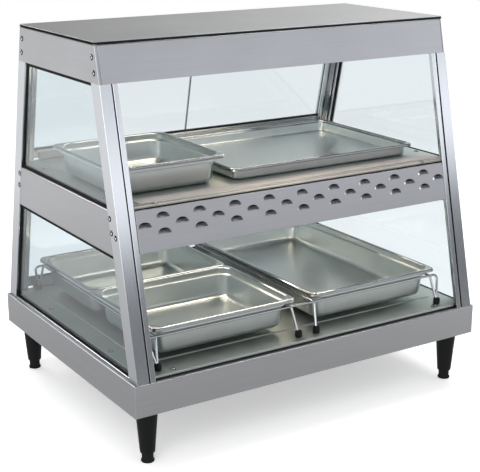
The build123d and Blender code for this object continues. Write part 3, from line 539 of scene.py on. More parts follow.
def solids(node):
    """Low and high corners of each separate solid of a CAD node."""
    mesh = bmesh.new()
    mesh.from_mesh(frame["nodes"][node].data)
    bmesh.ops.remove_doubles(mesh, verts=mesh.verts, dist=0.002 * MM)
    boxes, seen = [], set()
    for start in mesh.verts:
        if start in seen:
            continue
        seen.add(start)
        group, queue = [start.co.copy()], [start]
        while queue:
            for edge in queue.pop().link_edges:
                for vert in edge.verts:
                    if vert not in seen:
                        seen.add(vert)
                        queue.append(vert)
                        group.append(vert.co.copy())
        low = Vector([min(p[i] for p in group) for i in range(3)])
        high = Vector([max(p[i] for p in group) for i in range(3)])
        boxes.append((low, high))
    mesh.free()
    return boxes


def copies(model, places):
    """Copy a model to each place as its own mesh, and join the copies into one piece."""
    made = []
    for place in places:
        data = model.data.copy()
        data.transform(place)
        piece = bpy.data.objects.new(model.name, data)
        bpy.context.scene.collection.objects.link(piece)
        made.append(piece)
    bpy.data.objects.remove(model)
    return join(*made)


def joined(piece, extra, first, second):
    """Join an extra piece to a first, each keeping its own finish."""
    for item, index in ((piece, 0), (extra, 1)):
        item.data.materials.clear()
        for name in (first, second):
            item.data.materials.append(finish(name))
        item.data.polygons.foreach_set("material_index", [index] * len(item.data.polygons))
    return join(piece, extra)


def started(name, primitive, **settings):
    """New primitive, the only object selected, with its size and place in its mesh."""
    bpy.ops.object.select_all(action="DESELECT")
    primitive(**settings)
    piece = bpy.context.object
    piece.name = name
    bpy.ops.object.transform_apply()
    return piece


def turned(name, profile, sides):
    """Round piece on the Z axis: a disc extruded and scaled through (radius, height) steps in millimetres."""
    (radius, height), *rest = profile
    piece = started(
        name, bpy.ops.mesh.primitive_circle_add, vertices=sides, radius=radius * MM, fill_type="NGON",
        location=(0, 0, height * MM),
    )
    with editing(piece):
        for next_radius, next_height in rest:
            rise = (next_height - height) * MM
            bpy.ops.mesh.extrude_region_move(TRANSFORM_OT_translate={"value": (0, 0, rise)})
            scale = next_radius / radius
            bpy.ops.transform.resize(value=(scale, scale, 1), center_override=(0, 0, next_height * MM))
            radius, height = next_radius, next_height
        turn_outward()
    return piece


def lean():
    """Slope of the front and rear faces, from the lower edges of the shelf's front and of the lid."""
    shelf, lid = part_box("shelf_front_fascia")[0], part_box("canopy_top")[0]
    return (lid.y - shelf.y) / (lid.z - shelf.z)


def pane(node):
    """Glass pane whose narrow faces are ground."""
    piece = copy_of(node)
    round_edges(piece, sizes().glass_edge, 1)
    stand_for(piece, node, "glass_edge")
    widest = max(face.area for face in piece.data.polygons)
    for face in piece.data.polygons:
        face.material_index = 0 if face.area > widest / 4 else 1


# Pieces of the case


class DISPLAY_CASE_OT_base(bpy.types.Operator):
    """Fold the base's walls and its bottom plate"""

    bl_idname = "display_case.base"
    bl_label = "Base"

    def execute(self, context):
        shell = folded("base_shell", sizes().fold)
        # A hair less deep, because its rounded folds stand a little past the CAD's box
        shell.data.transform(Matrix.Scale(0.99998, 4, (0, 1, 0)))
        stand_for(eased("base_bottom_plate", sizes().cut_edge, 1), "base_bottom_plate")
        return {"FINISHED"}


class DISPLAY_CASE_OT_decks(bpy.types.Operator):
    """Press the two heated decks and lay the seals under them"""

    bl_idname = "display_case.decks"
    bl_label = "Decks and seals"

    def execute(self, context):
        folded("base_deck", sizes().deck_fold, shape=self.meet_posts)
        piece = folded("shelf_deck", sizes().deck_fold, "black_rubber", "deck_trim", shape=self.seam)
        near, far, end = self.seam_lines("shelf_deck")
        border = self.border("shelf_deck")
        for face in piece.data.polygons:
            if near < face.center.y < far and 0.3 * MM < border - face.center.z < 1 * MM:
                face.material_index = 1
            # The flat faces in front of that line take the cream colour: a painted highlight for the warm light
            # reflected there.
            elif face.center.y < end and face.normal.z > 0.9:
                face.material_index = 2
        stand_for(eased("seals", 0.3 * MM, shape=self.lid_seal), "seals")
        return {"FINISHED"}

    def seam_lines(self, node):
        """Front and back of the narrow seam in a deck's front border, and the back of its painted cream
        highlight.
        """
        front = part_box(node)[0].y
        near = front + sizes().deck_seam
        return near, near + sizes().seam_width, front + sizes().trim

    def border(self, node):
        """Height of a deck's border, below its raised field."""
        field = 2 * MM
        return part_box(node)[1].z - field

    def seam(self, node):
        """Narrow seam sunk into a deck's front border, the line at the back of its painted cream highlight, and
        a falling edge.
        """
        self.meet_posts(node)
        border = self.border(node)
        near, far, end = self.seam_lines(node)

        def level(face):
            return face.normal.z > 0.99 and abs(middle(face).z - border) < 0.1 * MM

        for y in (near, far):
            pick("FACE", level)
            bpy.ops.mesh.bisect(plane_co=(0, y, 0), plane_no=(0, 1, 0))
        pick("FACE", lambda face: face.normal.z > 0.99 and middle(face).z > border + 1 * MM)
        bpy.ops.mesh.bisect(plane_co=(0, end, 0), plane_no=(0, 1, 0))
        pick("FACE", lambda face: level(face) and near < middle(face).y < far)
        sink = {"value": -sizes().seam_depth}
        bpy.ops.mesh.extrude_region_shrink_fatten(TRANSFORM_OT_shrink_fatten=sink)
        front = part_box(node)[0].y
        pick("VERT", lambda vert: vert.co.y < front + 1 * MM and vert.co.z > border - 1.6 * MM)
        bpy.ops.transform.translate(value=(0, 0, -sizes().border_fall))

    def meet_posts(self, node):
        """Notches round the front posts filled to follow the back of their inner edges."""
        low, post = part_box(node)[0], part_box("front_posts")
        gap = 0.8 * MM
        inner = post[1].x - sizes().post_width
        face = post[0].y + (self.border(node) - post[0].z) * lean()
        corner = max(low.y, face + sizes().post_inner) + gap
        pick("VERT", lambda vert: inner - 6 * MM < abs(vert.co.x) < inner and (
            low.y + 5 * MM < vert.co.y < low.y + 18 * MM
        ))
        points = bmesh.from_edit_mesh(bpy.context.edit_object.data).verts
        notch = min(vert.co.y for vert in points if vert.select)
        bpy.ops.transform.translate(value=(0, corner - notch, 0))

    def lid_seal(self, node):
        """Lid's seal grown towards the lid's edge, and down to fill the seam under the lid."""
        top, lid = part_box(node)[1].z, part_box("canopy_top")[1]
        old_inset, new_inset = 2 * MM, 0.6 * MM
        pick("VERT", lambda vert: vert.co.z > top - 5 * MM)
        grown = [(reach - new_inset) / (reach - old_inset) for reach in (lid.x, lid.y)]
        bpy.ops.transform.resize(value=(*grown, 1), center_override=(0, 0, 0))
        pick("VERT", lambda vert: top - 5 * MM < vert.co.z < top - 0.5 * MM)
        bpy.ops.transform.translate(value=(0, 0, -sizes().lid_seam))


class DISPLAY_CASE_OT_screws(bpy.types.Operator):
    """Turn one domed screw with a cross recess and set it at every screw"""

    bl_idname = "display_case.screws"
    bl_label = "Screws"

    head = 2.4 * MM

    def execute(self, context):
        for node in ("deck_screws", "shelf_screws", "canopy_screws"):
            places = [self.place(node, low, high) for low, high in solids(node)]
            if node == "shelf_screws":
                places += self.third(places)
            stand_for(copies(self.screw(node + "_made"), places), node, "black_rubber")
        return {"FINISHED"}

    def place(self, node, low, high):
        """Foot of a screw's head, which looks up on the decks and sideways elsewhere."""
        at = (low + high) / 2
        if node == "deck_screws":
            at.z = high.z - self.head
            return Matrix.Translation(at)
        side = 1 if at.x > 0 else -1
        at.x = high.x - self.head if side > 0 else low.x + self.head
        return Matrix.Translation(at) @ Matrix.Rotation(side * math.pi / 2, 4, "Y")

    def third(self, places):
        """Third screw of each front post, in front of the shelf's lowest ones and a little below."""
        lowest = min(place.translation.z for place in places) + 1 * MM
        front = [place for place in places if place.translation.y < 0 and place.translation.z < lowest]
        return [Matrix.Translation((0, -16 * MM, -5.5 * MM)) @ place for place in front]

    def screw(self, name):
        """Domed head with a cross recess, standing on z = 0."""
        piece = turned(name, [
            (2.0, -2.0), (2.0, 0.0), (4.0, 0.0), (4.0, 0.4), (3.85, 1.0), (3.3, 1.7), (2.4, 2.2), (1.2, 2.4)
        ], 24)
        wide, deep = 4.4 * MM, 2.8 * MM
        for size in ((sizes().recess, wide, deep), (wide, sizes().recess, deep)):
            cut(piece, started(
                "recess", bpy.ops.mesh.primitive_cube_add, size=1, location=(0, 0, self.head), scale=size
            ))
        smooth(piece, 35)
        # Black ring under the head: painted shade round the screw
        edge = sizes().washer / MM
        ring = [(3.0, 0.02), (edge, 0.02), (edge, 0.3), (edge - 0.3, 0.5), (3.0, 0.5)]
        washer = turned(name + "_washer", ring, 24)
        smooth(washer, 35)
        return joined(piece, washer, "screw_steel", "black_rubber")


class DISPLAY_CASE_OT_legs(bpy.types.Operator):
    """Turn a tapered leg and a levelling foot and set them at the four corners"""

    bl_idname = "display_case.legs"
    bl_label = "Legs and feet"

    def execute(self, context):
        sides = sizes().round_sides
        leg = turned("legs_made", [
            (26.0, 110.0), (26.0, 107.2), (25.2, 106.2), (23.4, 105.6), (22.0, 104.4), (21.2, 102.0),
            (20.9, 98.0), (14.9, 23.5), (14.6, 20.6), (13.8, 19.3), (12.6, 19.0)
        ], sides)
        smooth(leg, 50)
        stand_for(copies(leg, [self.place(*box) for box in solids("legs")]), "legs")
        for node in ("foot_front_left", "foot_front_right", "foot_rear_left", "foot_rear_right"):
            foot = turned(node + "_made", [
                (11.6, 0.0), (12.6, 0.4), (13.0, 1.4), (13.0, 3.6), (12.5, 4.6), (11.6, 5.2), (11.3, 6.4),
                (11.3, 17.6), (10.6, 18.5), (5.0, 18.7), (5.0, 40.0), (4.2, 41.0)
            ], sides)
            smooth(foot, 50)
            stand_for(copies(foot, [self.place(*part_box(node))]), node)
        return {"FINISHED"}

    def place(self, low, high):
        """Point on the floor under the middle of a box."""
        at = (low + high) / 2
        return Matrix.Translation((at.x, at.y, 0))


class DISPLAY_CASE_OT_posts(bpy.types.Operator):
    """Thin the front posts' inner edges, flute the rear posts and paint their grooves black as painted shade"""

    bl_idname = "display_case.posts"
    bl_label = "Posts"

    def execute(self, context):
        s = sizes()
        for node, shape in (("front_posts", self.thin), ("rear_posts", self.flutes)):
            piece = copy_of(node)
            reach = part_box(node)[1].x
            strip = reach - s.groove_at
            with editing(piece):
                shape(reach)
                self.ease(strip - s.groove_width, s.groove_round)
                self.ease(reach - s.post_width, 0.5 * s.post_corner)
                self.ease(reach, s.post_corner)
            smooth(piece)
            stand_for(piece, node, "black_rubber")
            # Black rubber on the groove's faces is painted shade, darker than the groove's depth makes it
            for face in piece.data.polygons:
                if -0.1 * MM < strip - abs(face.center.x) < s.groove_width + 0.1 * MM:
                    face.material_index = 1
        return {"FINISHED"}

    def ease(self, x, offset):
        """Round the long sharp corners at a distance from the middle of the case."""
        def corner(edge):
            rise = abs(edge.verts[0].co.z - edge.verts[1].co.z)
            if rise < 50 * MM or not edge.is_convex or edge.calc_face_angle(0) < math.radians(50):
                return False
            return all(abs(abs(vert.co.x) - x) < 0.1 * MM for vert in edge.verts)

        pick("EDGE", corner)
        bpy.ops.mesh.bevel(offset=offset, segments=4, affect="EDGES", loop_slide=False)

    def thin(self, reach):
        """Back of the front posts' inner legs brought forward, so that they end in a thin edge."""
        low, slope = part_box("front_posts")[0], lean()
        inner = reach - sizes().post_width + 0.5 * MM
        deck_gap = 1 * MM
        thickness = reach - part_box("base_deck")[1].x - deck_gap

        def at_back(vert):
            return vert.co.y - low.y - (vert.co.z - low.z) * slope > thickness / 2

        pick("VERT", lambda vert: abs(vert.co.x) < inner and at_back(vert))
        bpy.ops.transform.translate(value=(0, sizes().post_inner - thickness, 0))

    def flutes(self, reach):
        """Strips pressed into the rear posts' faces that look to the front, past their side legs."""
        side_leg = 18 * MM
        start = reach - side_leg
        edges = [start - sizes().flute_pitch * (i + 0.5 * (i % 2)) for i in range(4)]

        def inner(face):
            return face.normal.y < -0.8 and abs(middle(face).x) < start and face.calc_area() > 1e-4

        for x in edges:
            for side in (-1, 1):
                pick("FACE", lambda face: inner(face) and middle(face).x * side > 0)
                bpy.ops.mesh.bisect(plane_co=(side * x, 0, 0), plane_no=(1, 0, 0))
        pick("FACE", lambda face: face.normal.y < -0.8 and any(
            low < abs(middle(face).x) < high for low, high in zip(edges[1::2], edges[0::2])
        ))
        sink = {"value": -sizes().flute_depth}
        bpy.ops.mesh.extrude_region_shrink_fatten(TRANSFORM_OT_shrink_fatten=sink)


class DISPLAY_CASE_OT_shelf(bpy.types.Operator):
    """Fold the shelf's louvred front, its back, its end bands and its underside"""

    bl_idname = "display_case.shelf"
    bl_label = "Shelf"

    # Drop below the top of the shelf in millimetres, and louvres in the row
    rows = ((18.0, 9), (32.5, 10), (47.0, 9))

    def execute(self, context):
        self.louvred_front()
        for node in ("shelf_rear_fascia", "shelf_bands"):
            folded(node, sizes().fold)
        stand_for(eased("shelf_underside", sizes().cut_edge, 1), "shelf_underside")
        return {"FINISHED"}

    def louvred_front(self):
        """Sheet folded as the back one is, pierced by half-moons with a pressed flap in each."""
        piece = copy_of("shelf_rear_fascia")
        with editing(piece):
            bpy.ops.transform.resize(value=(1, -1, 1), center_override=(0, 0, 0))
            turn_outward()
            fold_edges(sizes().deck_fold)
        cutter = self.half_moon("louvre_cutter")
        reach = 5 * MM
        with editing(cutter):
            bpy.ops.transform.translate(value=(0, -reach, 0))
            bpy.ops.mesh.extrude_region_move(TRANSFORM_OT_translate={"value": (0, 2 * reach, 0)})
            turn_outward()
        cut(piece, copies(cutter, self.places()))
        round_edges(piece, sizes().cut_edge, 1)
        smooth(piece)
        join(piece, copies(self.flap(), self.places()))
        piece.name = "shelf_front_fascia_made"
        stand_for(piece, "shelf_front_fascia")

    def places(self):
        """Where each half-moon lies on the leaning sheet."""
        low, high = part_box("shelf_front_fascia")
        tilt = Matrix.Rotation(-math.atan(lean()), 4, "X")
        made = []
        for drop, count in self.rows:
            z = high.z - drop * MM
            y = low.y + (z - low.z) * lean()
            for i in range(count):
                x = (i - (count - 1) / 2) * sizes().louvre_pitch
                made.append(Matrix.Translation((x, y, z)) @ tilt)
        return made

    def half_moon(self, name):
        """Upright half-moon with its flat side on z = 0."""
        moon = started(
            name, bpy.ops.mesh.primitive_circle_add, vertices=32, radius=1, fill_type="NGON",
            rotation=(math.pi / 2, 0, 0),
        )
        with editing(moon):
            bpy.ops.mesh.bisect(plane_co=(0, 0, 0), plane_no=(0, 0, 1), clear_inner=True)
            bpy.ops.mesh.select_all(action="SELECT")
            size = (sizes().louvre_width / 2, 1, sizes().louvre_height)
            bpy.ops.transform.resize(value=size, center_override=(0, 0, 0))
        return moon

    def flap(self):
        """Half-moon pressed inward from its flat side, deepest under the middle of its arch."""
        piece = self.half_moon("louvre_flap")
        half = sizes().louvre_width / 2
        turns = [math.pi * i / 16 for i in range(1, 9)]
        with editing(piece):
            for x in sorted({side * half * math.cos(turn) for turn in turns for side in (-1, 1)}):
                bpy.ops.mesh.select_all(action="SELECT")
                bpy.ops.mesh.bisect(plane_co=(x, 0, 0), plane_no=(1, 0, 0))
            for turn in turns:
                x = half * math.cos(turn)
                pick("VERT", lambda vert: abs(abs(vert.co.x) - x) < 0.05 * MM and vert.co.z > 0.1 * MM)
                depth = sizes().louvre_depth * math.sin(turn) ** 2
                bpy.ops.transform.translate(value=(0, depth, 0))
        modify(piece, "SOLIDIFY", thickness=0.6 * MM, offset=0.0)
        smooth(piece, 50)
        return piece


class DISPLAY_CASE_OT_canopy(bpy.types.Operator):
    """Fold the canopy's panels, ends, underside and lid"""

    bl_idname = "display_case.canopy"
    bl_label = "Canopy"

    def execute(self, context):
        for node in ("canopy_front_panel", "canopy_rear_panel"):
            folded(node, sizes().fold, shape=self.panel)
        folded("canopy_ends", sizes().corner_fold, shape=self.end)
        for node in ("canopy_underside", "canopy_top"):
            stand_for(eased(node, sizes().cut_edge), node)
        return {"FINISHED"}

    def lower_top(self, node, side, drop):
        """Upper edge and flange a little lower along the slope, so that the seal shows under the lid."""
        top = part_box(node)[1].z
        pick("VERT", lambda vert: vert.co.z > top - 2 * MM and vert.co.y * side > 0)
        bpy.ops.transform.translate(value=(0, side * drop * lean(), -drop))

    def panel(self, node):
        """Front or rear panel, shorter by the returns of the ends."""
        self.lower_top(node, 1 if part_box(node)[1].y > 0 else -1, sizes().lid_seam)
        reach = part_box(node)[1].x
        bpy.ops.mesh.select_all(action="SELECT")
        share = (reach - sizes().corner_return - sizes().corner_gap) / reach
        bpy.ops.transform.resize(value=(share, 1, 1), center_override=(0, 0, 0))

    def end(self, node):
        """Ends with a narrow return across the front and the back."""
        low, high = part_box(node)
        slope = lean()
        sheet = 1.2 * MM

        def inside(face):
            return abs(face.normal.x) > 0.9 and abs(abs(middle(face).x) - high.x + sheet) < 0.1 * MM

        def at_edge(face):
            at = middle(face)
            return abs(at.y) + (at.z - low.z) * slope > high.y - 1.6 * sheet

        for side in (-1, 1):
            self.lower_top(node, side, 0.5 * sizes().lid_seam)
            pick("FACE", inside)
            line = (0, side * (high.y - 1.5 * sheet), low.z)
            bpy.ops.mesh.bisect(plane_co=line, plane_no=(0, side, slope))
        pick("FACE", lambda face: inside(face) and at_edge(face))
        grow = {"value": sizes().corner_return}
        bpy.ops.mesh.extrude_region_shrink_fatten(TRANSFORM_OT_shrink_fatten=grow)
        bpy.ops.mesh.select_all(action="SELECT")
        merge_flat()


class DISPLAY_CASE_OT_glass(bpy.types.Operator):
    """Set the side panes with ground edges in their gaskets and lay a bead along the base outside them"""

    bl_idname = "display_case.glass"
    bl_label = "Side glass"

    panes = ("side_glass_lower", "side_glass_upper")

    def execute(self, context):
        for node in self.panes:
            pane(node)
        stand_for(eased("glazing_gaskets", 0.3 * MM, 1, self.heads), "glazing_gaskets")
        self.beads()
        return {"FINISHED"}

    def heads(self, node):
        """Inner edges of the gaskets' upper runs brought down, so that more of them shows."""
        lip = 3 * MM
        lines = [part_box(glass)[1].z - lip for glass in self.panes]
        pick("VERT", lambda vert: any(abs(vert.co.z - z) < 0.5 * MM for z in lines))
        bpy.ops.transform.translate(value=(0, 0, -sizes().gasket_drop))

    def beads(self):
        """Rounded aluminium strips on the base's flange, between the posts' side legs."""
        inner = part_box("glazing_gaskets")[1].x + 0.3 * MM
        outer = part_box("front_posts")[1].x - 0.5 * MM
        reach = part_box("side_glass_lower")[1].y - 7 * MM
        bead = started(
            "glazing_beads_made", bpy.ops.mesh.primitive_cube_add, size=1,
            scale=(outer - inner, 2 * reach, sizes().bead),
        )
        with editing(bead):
            pick("EDGE", lambda edge: all(vert.co.z > 0 for vert in edge.verts))
            bpy.ops.mesh.bevel(offset=1.4 * MM, segments=4, affect="EDGES")
        smooth(bead)
        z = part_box("base_shell")[1].z + sizes().bead / 2
        piece = copies(bead, [Matrix.Translation((side * (inner + outer) / 2, 0, z)) for side in (-1, 1)])
        piece.data.materials.append(finish("post_aluminium"))
        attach(piece, BODY_OF["base_shell"])


class DISPLAY_CASE_OT_doors(bpy.types.Operator):
    """Hang the four rear doors with their barrels, rails, brackets and sills"""

    bl_idname = "display_case.doors"
    bl_label = "Rear doors"

    def execute(self, context):
        for level in ("upper", "lower"):
            for side in ("left", "right"):
                pane(f"door_glass_{level}_{side}")
                self.rail(f"door_rails_{level}_{side}")
        for node, width in (("hinge_brackets", 0.8 * MM), ("door_sills", 0.4 * MM)):
            stand_for(eased(node, width), node)
        return {"FINISHED"}

    def rail(self, node):
        """Rail with a black glazing strip along its upper edge."""
        piece = stand_for(eased(node, 0.6 * MM, shape=self.strip_line), node, "black_rubber")
        top = self.top(node)
        for face in piece.data.polygons:
            if -0.5 * MM < top - face.center.z < sizes().strip + 0.2 * MM:
                face.material_index = 1

    def top(self, node):
        """Height of a rail's upper edge; the barrel at the head of the door is in the same node."""
        rail_height = 22 * MM
        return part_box(node)[0].z + rail_height

    def strip_line(self, node):
        """Line across the rail's upright faces under the strip."""
        top = self.top(node)
        pick("FACE", lambda face: abs(face.normal.y) > 0.8 and middle(face).z < top)
        bpy.ops.mesh.bisect(plane_co=(0, 0, top - sizes().strip), plane_no=(0, 0, 1))


class DISPLAY_CASE_OT_lamps(bpy.types.Operator):
    """Turn the heat lamps and fold their reflectors"""

    bl_idname = "display_case.lamps"
    bl_label = "Heat lamps"

    def execute(self, context):
        half = 270.0
        end = [(6.4, 0.0), (7.6, 0.6), (8.0, 2.0), (8.0, 16.0), (7.4, 17.0)]
        tube = turned("lamp_tubes_made", [(radius, z - half) for radius, z in end] + [
            (radius, half - z) for radius, z in reversed(end)
        ], 32)
        smooth(tube, 50)
        flat = Matrix.Rotation(math.pi / 2, 4, "Y")
        places = [Matrix.Translation((low + high) / 2) @ flat for low, high in solids("lamp_tubes")]
        stand_for(copies(tube, places), "lamp_tubes")
        stand_for(eased("lamp_fittings", 0.3 * MM, 1), "lamp_fittings")
        return {"FINISHED"}


class DISPLAY_CASE_OT_controls(bpy.types.Operator):
    """Make the control panel with its printed dials, its fluted knobs and its switches"""

    bl_idname = "display_case.controls"
    bl_label = "Controls"

    knobs = ("knob_1", "knob_2")

    def execute(self, context):
        for node in ("switch_housings", "cable_gland"):
            stand_for(eased(node, 0.5 * MM), node)
        marks = copies(self.dial(), [self.facing_back(node) for node in self.knobs])
        panel = joined(eased("control_panel", 0.4 * MM), marks, SLOT_OF["control_panel"], "dark_print")
        stand_for(panel, "control_panel", "dark_print")
        for node in self.knobs:
            self.knob(node)
        for node in ("rocker_1", "rocker_2"):
            self.rocker(node)
        return {"FINISHED"}

    def facing_back(self, node):
        """Place on the panel behind a knob, with X to the right and Y up for someone at the back."""
        low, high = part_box(node)
        at = (low + high) / 2
        at.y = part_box("control_panel")[1].y - sizes().panel_depth
        return Matrix.Translation(at) @ Matrix(((-1, 0, 0), (0, 0, 1), (0, 1, 0))).to_4x4()

    def knob(self, node):
        """Knob with a skirt, a fluted grip and a white pointer."""
        sides, foot, head = 48, 4.6, 14.4
        piece = turned(node + "_made", [
            (3.0, -6.0), (3.0, 1.0), (14.6, 1.0), (15.0, 1.4), (15.0, 2.8), (14.4, 3.6), (13.2, 4.0),
            (12.9, foot), (12.4, head), (11.9, 15.4), (11.0, 16.0), (9.0, 15.6)
        ], sides)

        def is_flute(face):
            at = middle(face)
            step = math.degrees(math.atan2(at.y, at.x)) // (360 / sides)
            return foot * MM < at.z < head * MM and step % 4 < 2

        with editing(piece):
            pick("FACE", is_flute)
            bpy.ops.mesh.extrude_region_shrink_fatten(TRANSFORM_OT_shrink_fatten={"value": -0.9 * MM})
        smooth(piece, 35)
        pointer = self.mark("pointer", (0, 6.2, 16.0), (2.0, 10.8, 2.0))
        made = joined(piece, pointer, SLOT_OF[node], "print")
        stand_for(copies(made, [self.facing_back(node)]), node, "print")

    def mark(self, name, place, size):
        """Small bar with rounded edges; millimetres."""
        piece = started(
            name, bpy.ops.mesh.primitive_cube_add, size=1, location=[v * MM for v in place],
            scale=[v * MM for v in size],
        )
        round_edges(piece, min(size) / 4 * MM)
        smooth(piece)
        return piece

    def dial(self):
        """Ticks from the lowest to the highest setting round a knob, numbered at every other one."""
        ticks, sweep = 9, 270
        pieces = []
        for i in range(ticks):
            turn = Matrix.Rotation(math.radians(sweep / 2 - i * sweep / (ticks - 1)), 4, "Z")
            tick = self.mark("tick", (0, 17.4, 0), (0.6, 2.2, 0.2))
            tick.data.transform(turn)
            pieces.append(tick)
            if i % 2 == 0:
                pieces.append(self.number(str(i // 2 + 1), turn @ Vector((0, 20.2 * MM, 0))))
        return join(*pieces)

    def number(self, body, place):
        """Upright number in the middle of a place."""
        bpy.ops.object.select_all(action="DESELECT")
        bpy.ops.object.text_add()
        text = bpy.context.object.data
        text.body = body
        text.size = 3.6 * MM
        text.align_x, text.align_y = "CENTER", "CENTER"
        text.extrude = 0.1 * MM
        bpy.ops.object.convert(target="MESH")
        piece = bpy.context.object
        piece.data.transform(Matrix.Translation(place))
        return piece

    def rocker(self, node):
        """Rocker with a ring on its lower half and a bar on its upper half."""
        piece = copy_of(node)
        halves = [(face.center.copy(), face.normal.copy()) for face in piece.data.polygons if (
            face.normal.y > 0.8 and face.area > 80 * MM * MM
        )]
        halves.sort(key=lambda half: half[0].z)
        round_edges(piece, 0.8 * MM)
        smooth(piece)
        marks = [self.ring(), self.mark("bar", (0, 0, 0), (0.9, 4.6, 0.2))]
        for mark, (at, normal) in zip(marks, halves):
            mark.data.transform(Matrix.Translation(at) @ normal.to_track_quat("Z", "Y").to_matrix().to_4x4())
        stand_for(joined(piece, join(*marks), SLOT_OF[node], "print"), node, "print")

    def ring(self):
        """Flat printed ring."""
        piece = started(
            "ring", bpy.ops.mesh.primitive_circle_add, vertices=24, radius=2.3 * MM, fill_type="NGON"
        )
        with editing(piece):
            bpy.ops.mesh.inset(thickness=0.8 * MM)
            bpy.ops.mesh.delete(type="FACE")
        modify(piece, "SOLIDIFY", thickness=0.2 * MM, offset=0.0)
        return piece


class DISPLAY_CASE_OT_rack(bpy.types.Operator):
    """Smooth the bent wires of the rack and mould its boots"""

    bl_idname = "display_case.rack"
    bl_label = "Wire rack"

    def execute(self, context):
        piece = copy_of("pan_rack")
        smooth(piece, 50)
        stand_for(piece, "pan_rack")
        boot = turned("rack_boots_made", [
            (6.2, 0.0), (7.0, 0.8), (7.0, 10.0), (6.6, 12.2), (5.4, 13.4), (3.4, 13.7)
        ], 28)
        smooth(boot, 50)
        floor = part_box("rack_boots")[0].z
        middles = [(low + high) / 2 for low, high in solids("rack_boots")]
        stand_for(copies(boot, [Matrix.Translation((at.x, at.y, floor)) for at in middles]), "rack_boots")
        return {"FINISHED"}


# Sizes of a pressed pan in millimetres: radii of its rim's and its well's corners, its depth, the collar under
# its rim, the shoulder below that, the bend at its floor and the width of its flange
Pressing = namedtuple("Pressing", "corner well_corner depth collar shoulder bend flange")
DEEP_PAN = Pressing(16.0, 34.0, 62.0, 14.0, 6.0, 13.0, 6.5)
PRESSINGS = {
    "full_pan": DEEP_PAN,
    "half_pan_front": DEEP_PAN,
    "half_pan_rear": DEEP_PAN,
    "shelf_pan": DEEP_PAN._replace(depth=58.0),
    "sheet_tray": Pressing(14.0, 22.0, 25.4, 5.0, 1.8, 5.0, 5.0),
}


class DISPLAY_CASE_OT_pans(bpy.types.Operator):
    """Press the pans and the sheet tray"""

    bl_idname = "display_case.pans"
    bl_label = "Pans and tray"

    lip = 5.0
    flange_bend = 1.5

    def execute(self, context):
        for node, form in PRESSINGS.items():
            self.pressed(node, form)
        return {"FINISHED"}

    def pressed(self, node, form):
        """Pan drawn from sheet: a rolled rim with squarer corners, bridged to a rounder well."""
        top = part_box(node)[1].z
        wall = sizes().pan_wall / MM
        clear = sizes().rim_clear / MM
        rim = self.drawn(node, node + "_made", clear, form.corner, self.rim_line())
        with editing(rim):
            pick("FACE", lambda face: len(face.verts) > 4)
            bpy.ops.mesh.delete(type="ONLY_FACE")
        inset = form.flange + wall - self.flange_bend
        join(rim, self.drawn(node, "well", inset, form.well_corner, self.well_line(form, inset, wall)))
        with editing(rim):
            pick("EDGE", lambda edge: edge.is_boundary and middle(edge).z > top - 1 * MM)
            bpy.ops.mesh.bridge_edge_loops()
            bpy.ops.mesh.select_all(action="SELECT")
            bpy.ops.mesh.normals_make_consistent(inside=True)
        modify(rim, "SOLIDIFY", thickness=sizes().pan_wall, offset=-1.0)
        smooth(rim, 50)
        stand_for(rim, node, "pan_rim")
        edge = top - (self.lip + 1) * MM
        for face in rim.data.polygons:
            face.material_index = 1 if face.center.z > edge else 0

    def drawn(self, node, name, inset, corner, line):
        """Rounded oblong inside a pan's outline, drawn inward and down through the points of a line."""
        low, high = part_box(node)
        at, size = (low + high) / 2, high - low
        at.z = high.z + line[0][1] * MM
        piece = started(name, bpy.ops.mesh.primitive_plane_add, size=1, location=at)
        with editing(piece):
            share = (size.x - 2 * inset * MM, size.y - 2 * inset * MM, 1)
            bpy.ops.transform.resize(value=share, center_override=at)
            bpy.ops.mesh.bevel(offset=corner * MM, segments=10, affect="VERTICES")
            bpy.ops.mesh.select_mode(type="FACE")
            bpy.ops.mesh.select_all(action="SELECT")
            for a, b in zip(line, line[1:]):
                bpy.ops.mesh.inset(
                    thickness=(b[0] - a[0]) * MM, depth=(b[1] - a[1]) * MM, use_boundary=True
                )
        return piece

    def rim_line(self):
        """Inset and height of each point from the lip's lower edge to the top of its roll."""
        roll, lean_in = 2.2, 0.05
        return [(0.0, -self.lip), (lean_in, -roll)] + self.arc(roll + lean_in, -roll, roll, 180, 90)

    def well_line(self, form, inset, wall):
        """Inset and height of each point from the inside of the flange down to the floor."""
        shoulder_bend, edge_bend, draft = 2.0, 1.4, 8
        shelf = -form.collar + wall
        edge = form.flange + form.shoulder + wall
        run = edge + math.tan(math.radians(draft)) * (form.depth - form.collar) - 0.5
        floor = -form.depth + wall
        floor_bend = self.arc(run + form.bend - 2.0, floor + form.bend, form.bend, 180 + draft, 270)
        points = self.arc(inset, -self.flange_bend, self.flange_bend, 90, 0)
        points += self.arc(form.flange + wall + shoulder_bend, shelf + shoulder_bend, shoulder_bend, 180, 270)
        points += self.arc(edge - edge_bend, shelf - edge_bend, edge_bend, 90, draft)
        return points + floor_bend

    def arc(self, inset, z, radius, start, end):
        """Points of a rounded bend, by its middle, radius and angles in degrees."""
        steps = 4
        turns = [math.radians(start + (end - start) * i / steps) for i in range(steps + 1)]
        return [(inset + radius * math.cos(turn), z + radius * math.sin(turn)) for turn in turns]


class DISPLAY_CASE_OT_inner_fittings(bpy.types.Operator):
    """Finish the pieces that the case hides"""

    bl_idname = "display_case.inner_fittings"
    bl_label = "Inner fittings"

    def execute(self, context):
        for node, piece in frame["nodes"].items():
            if not piece.hide_render:
                piece.data.materials.clear()
                piece.data.materials.append(finish(SLOT_OF[node]))
        return {"FINISHED"}


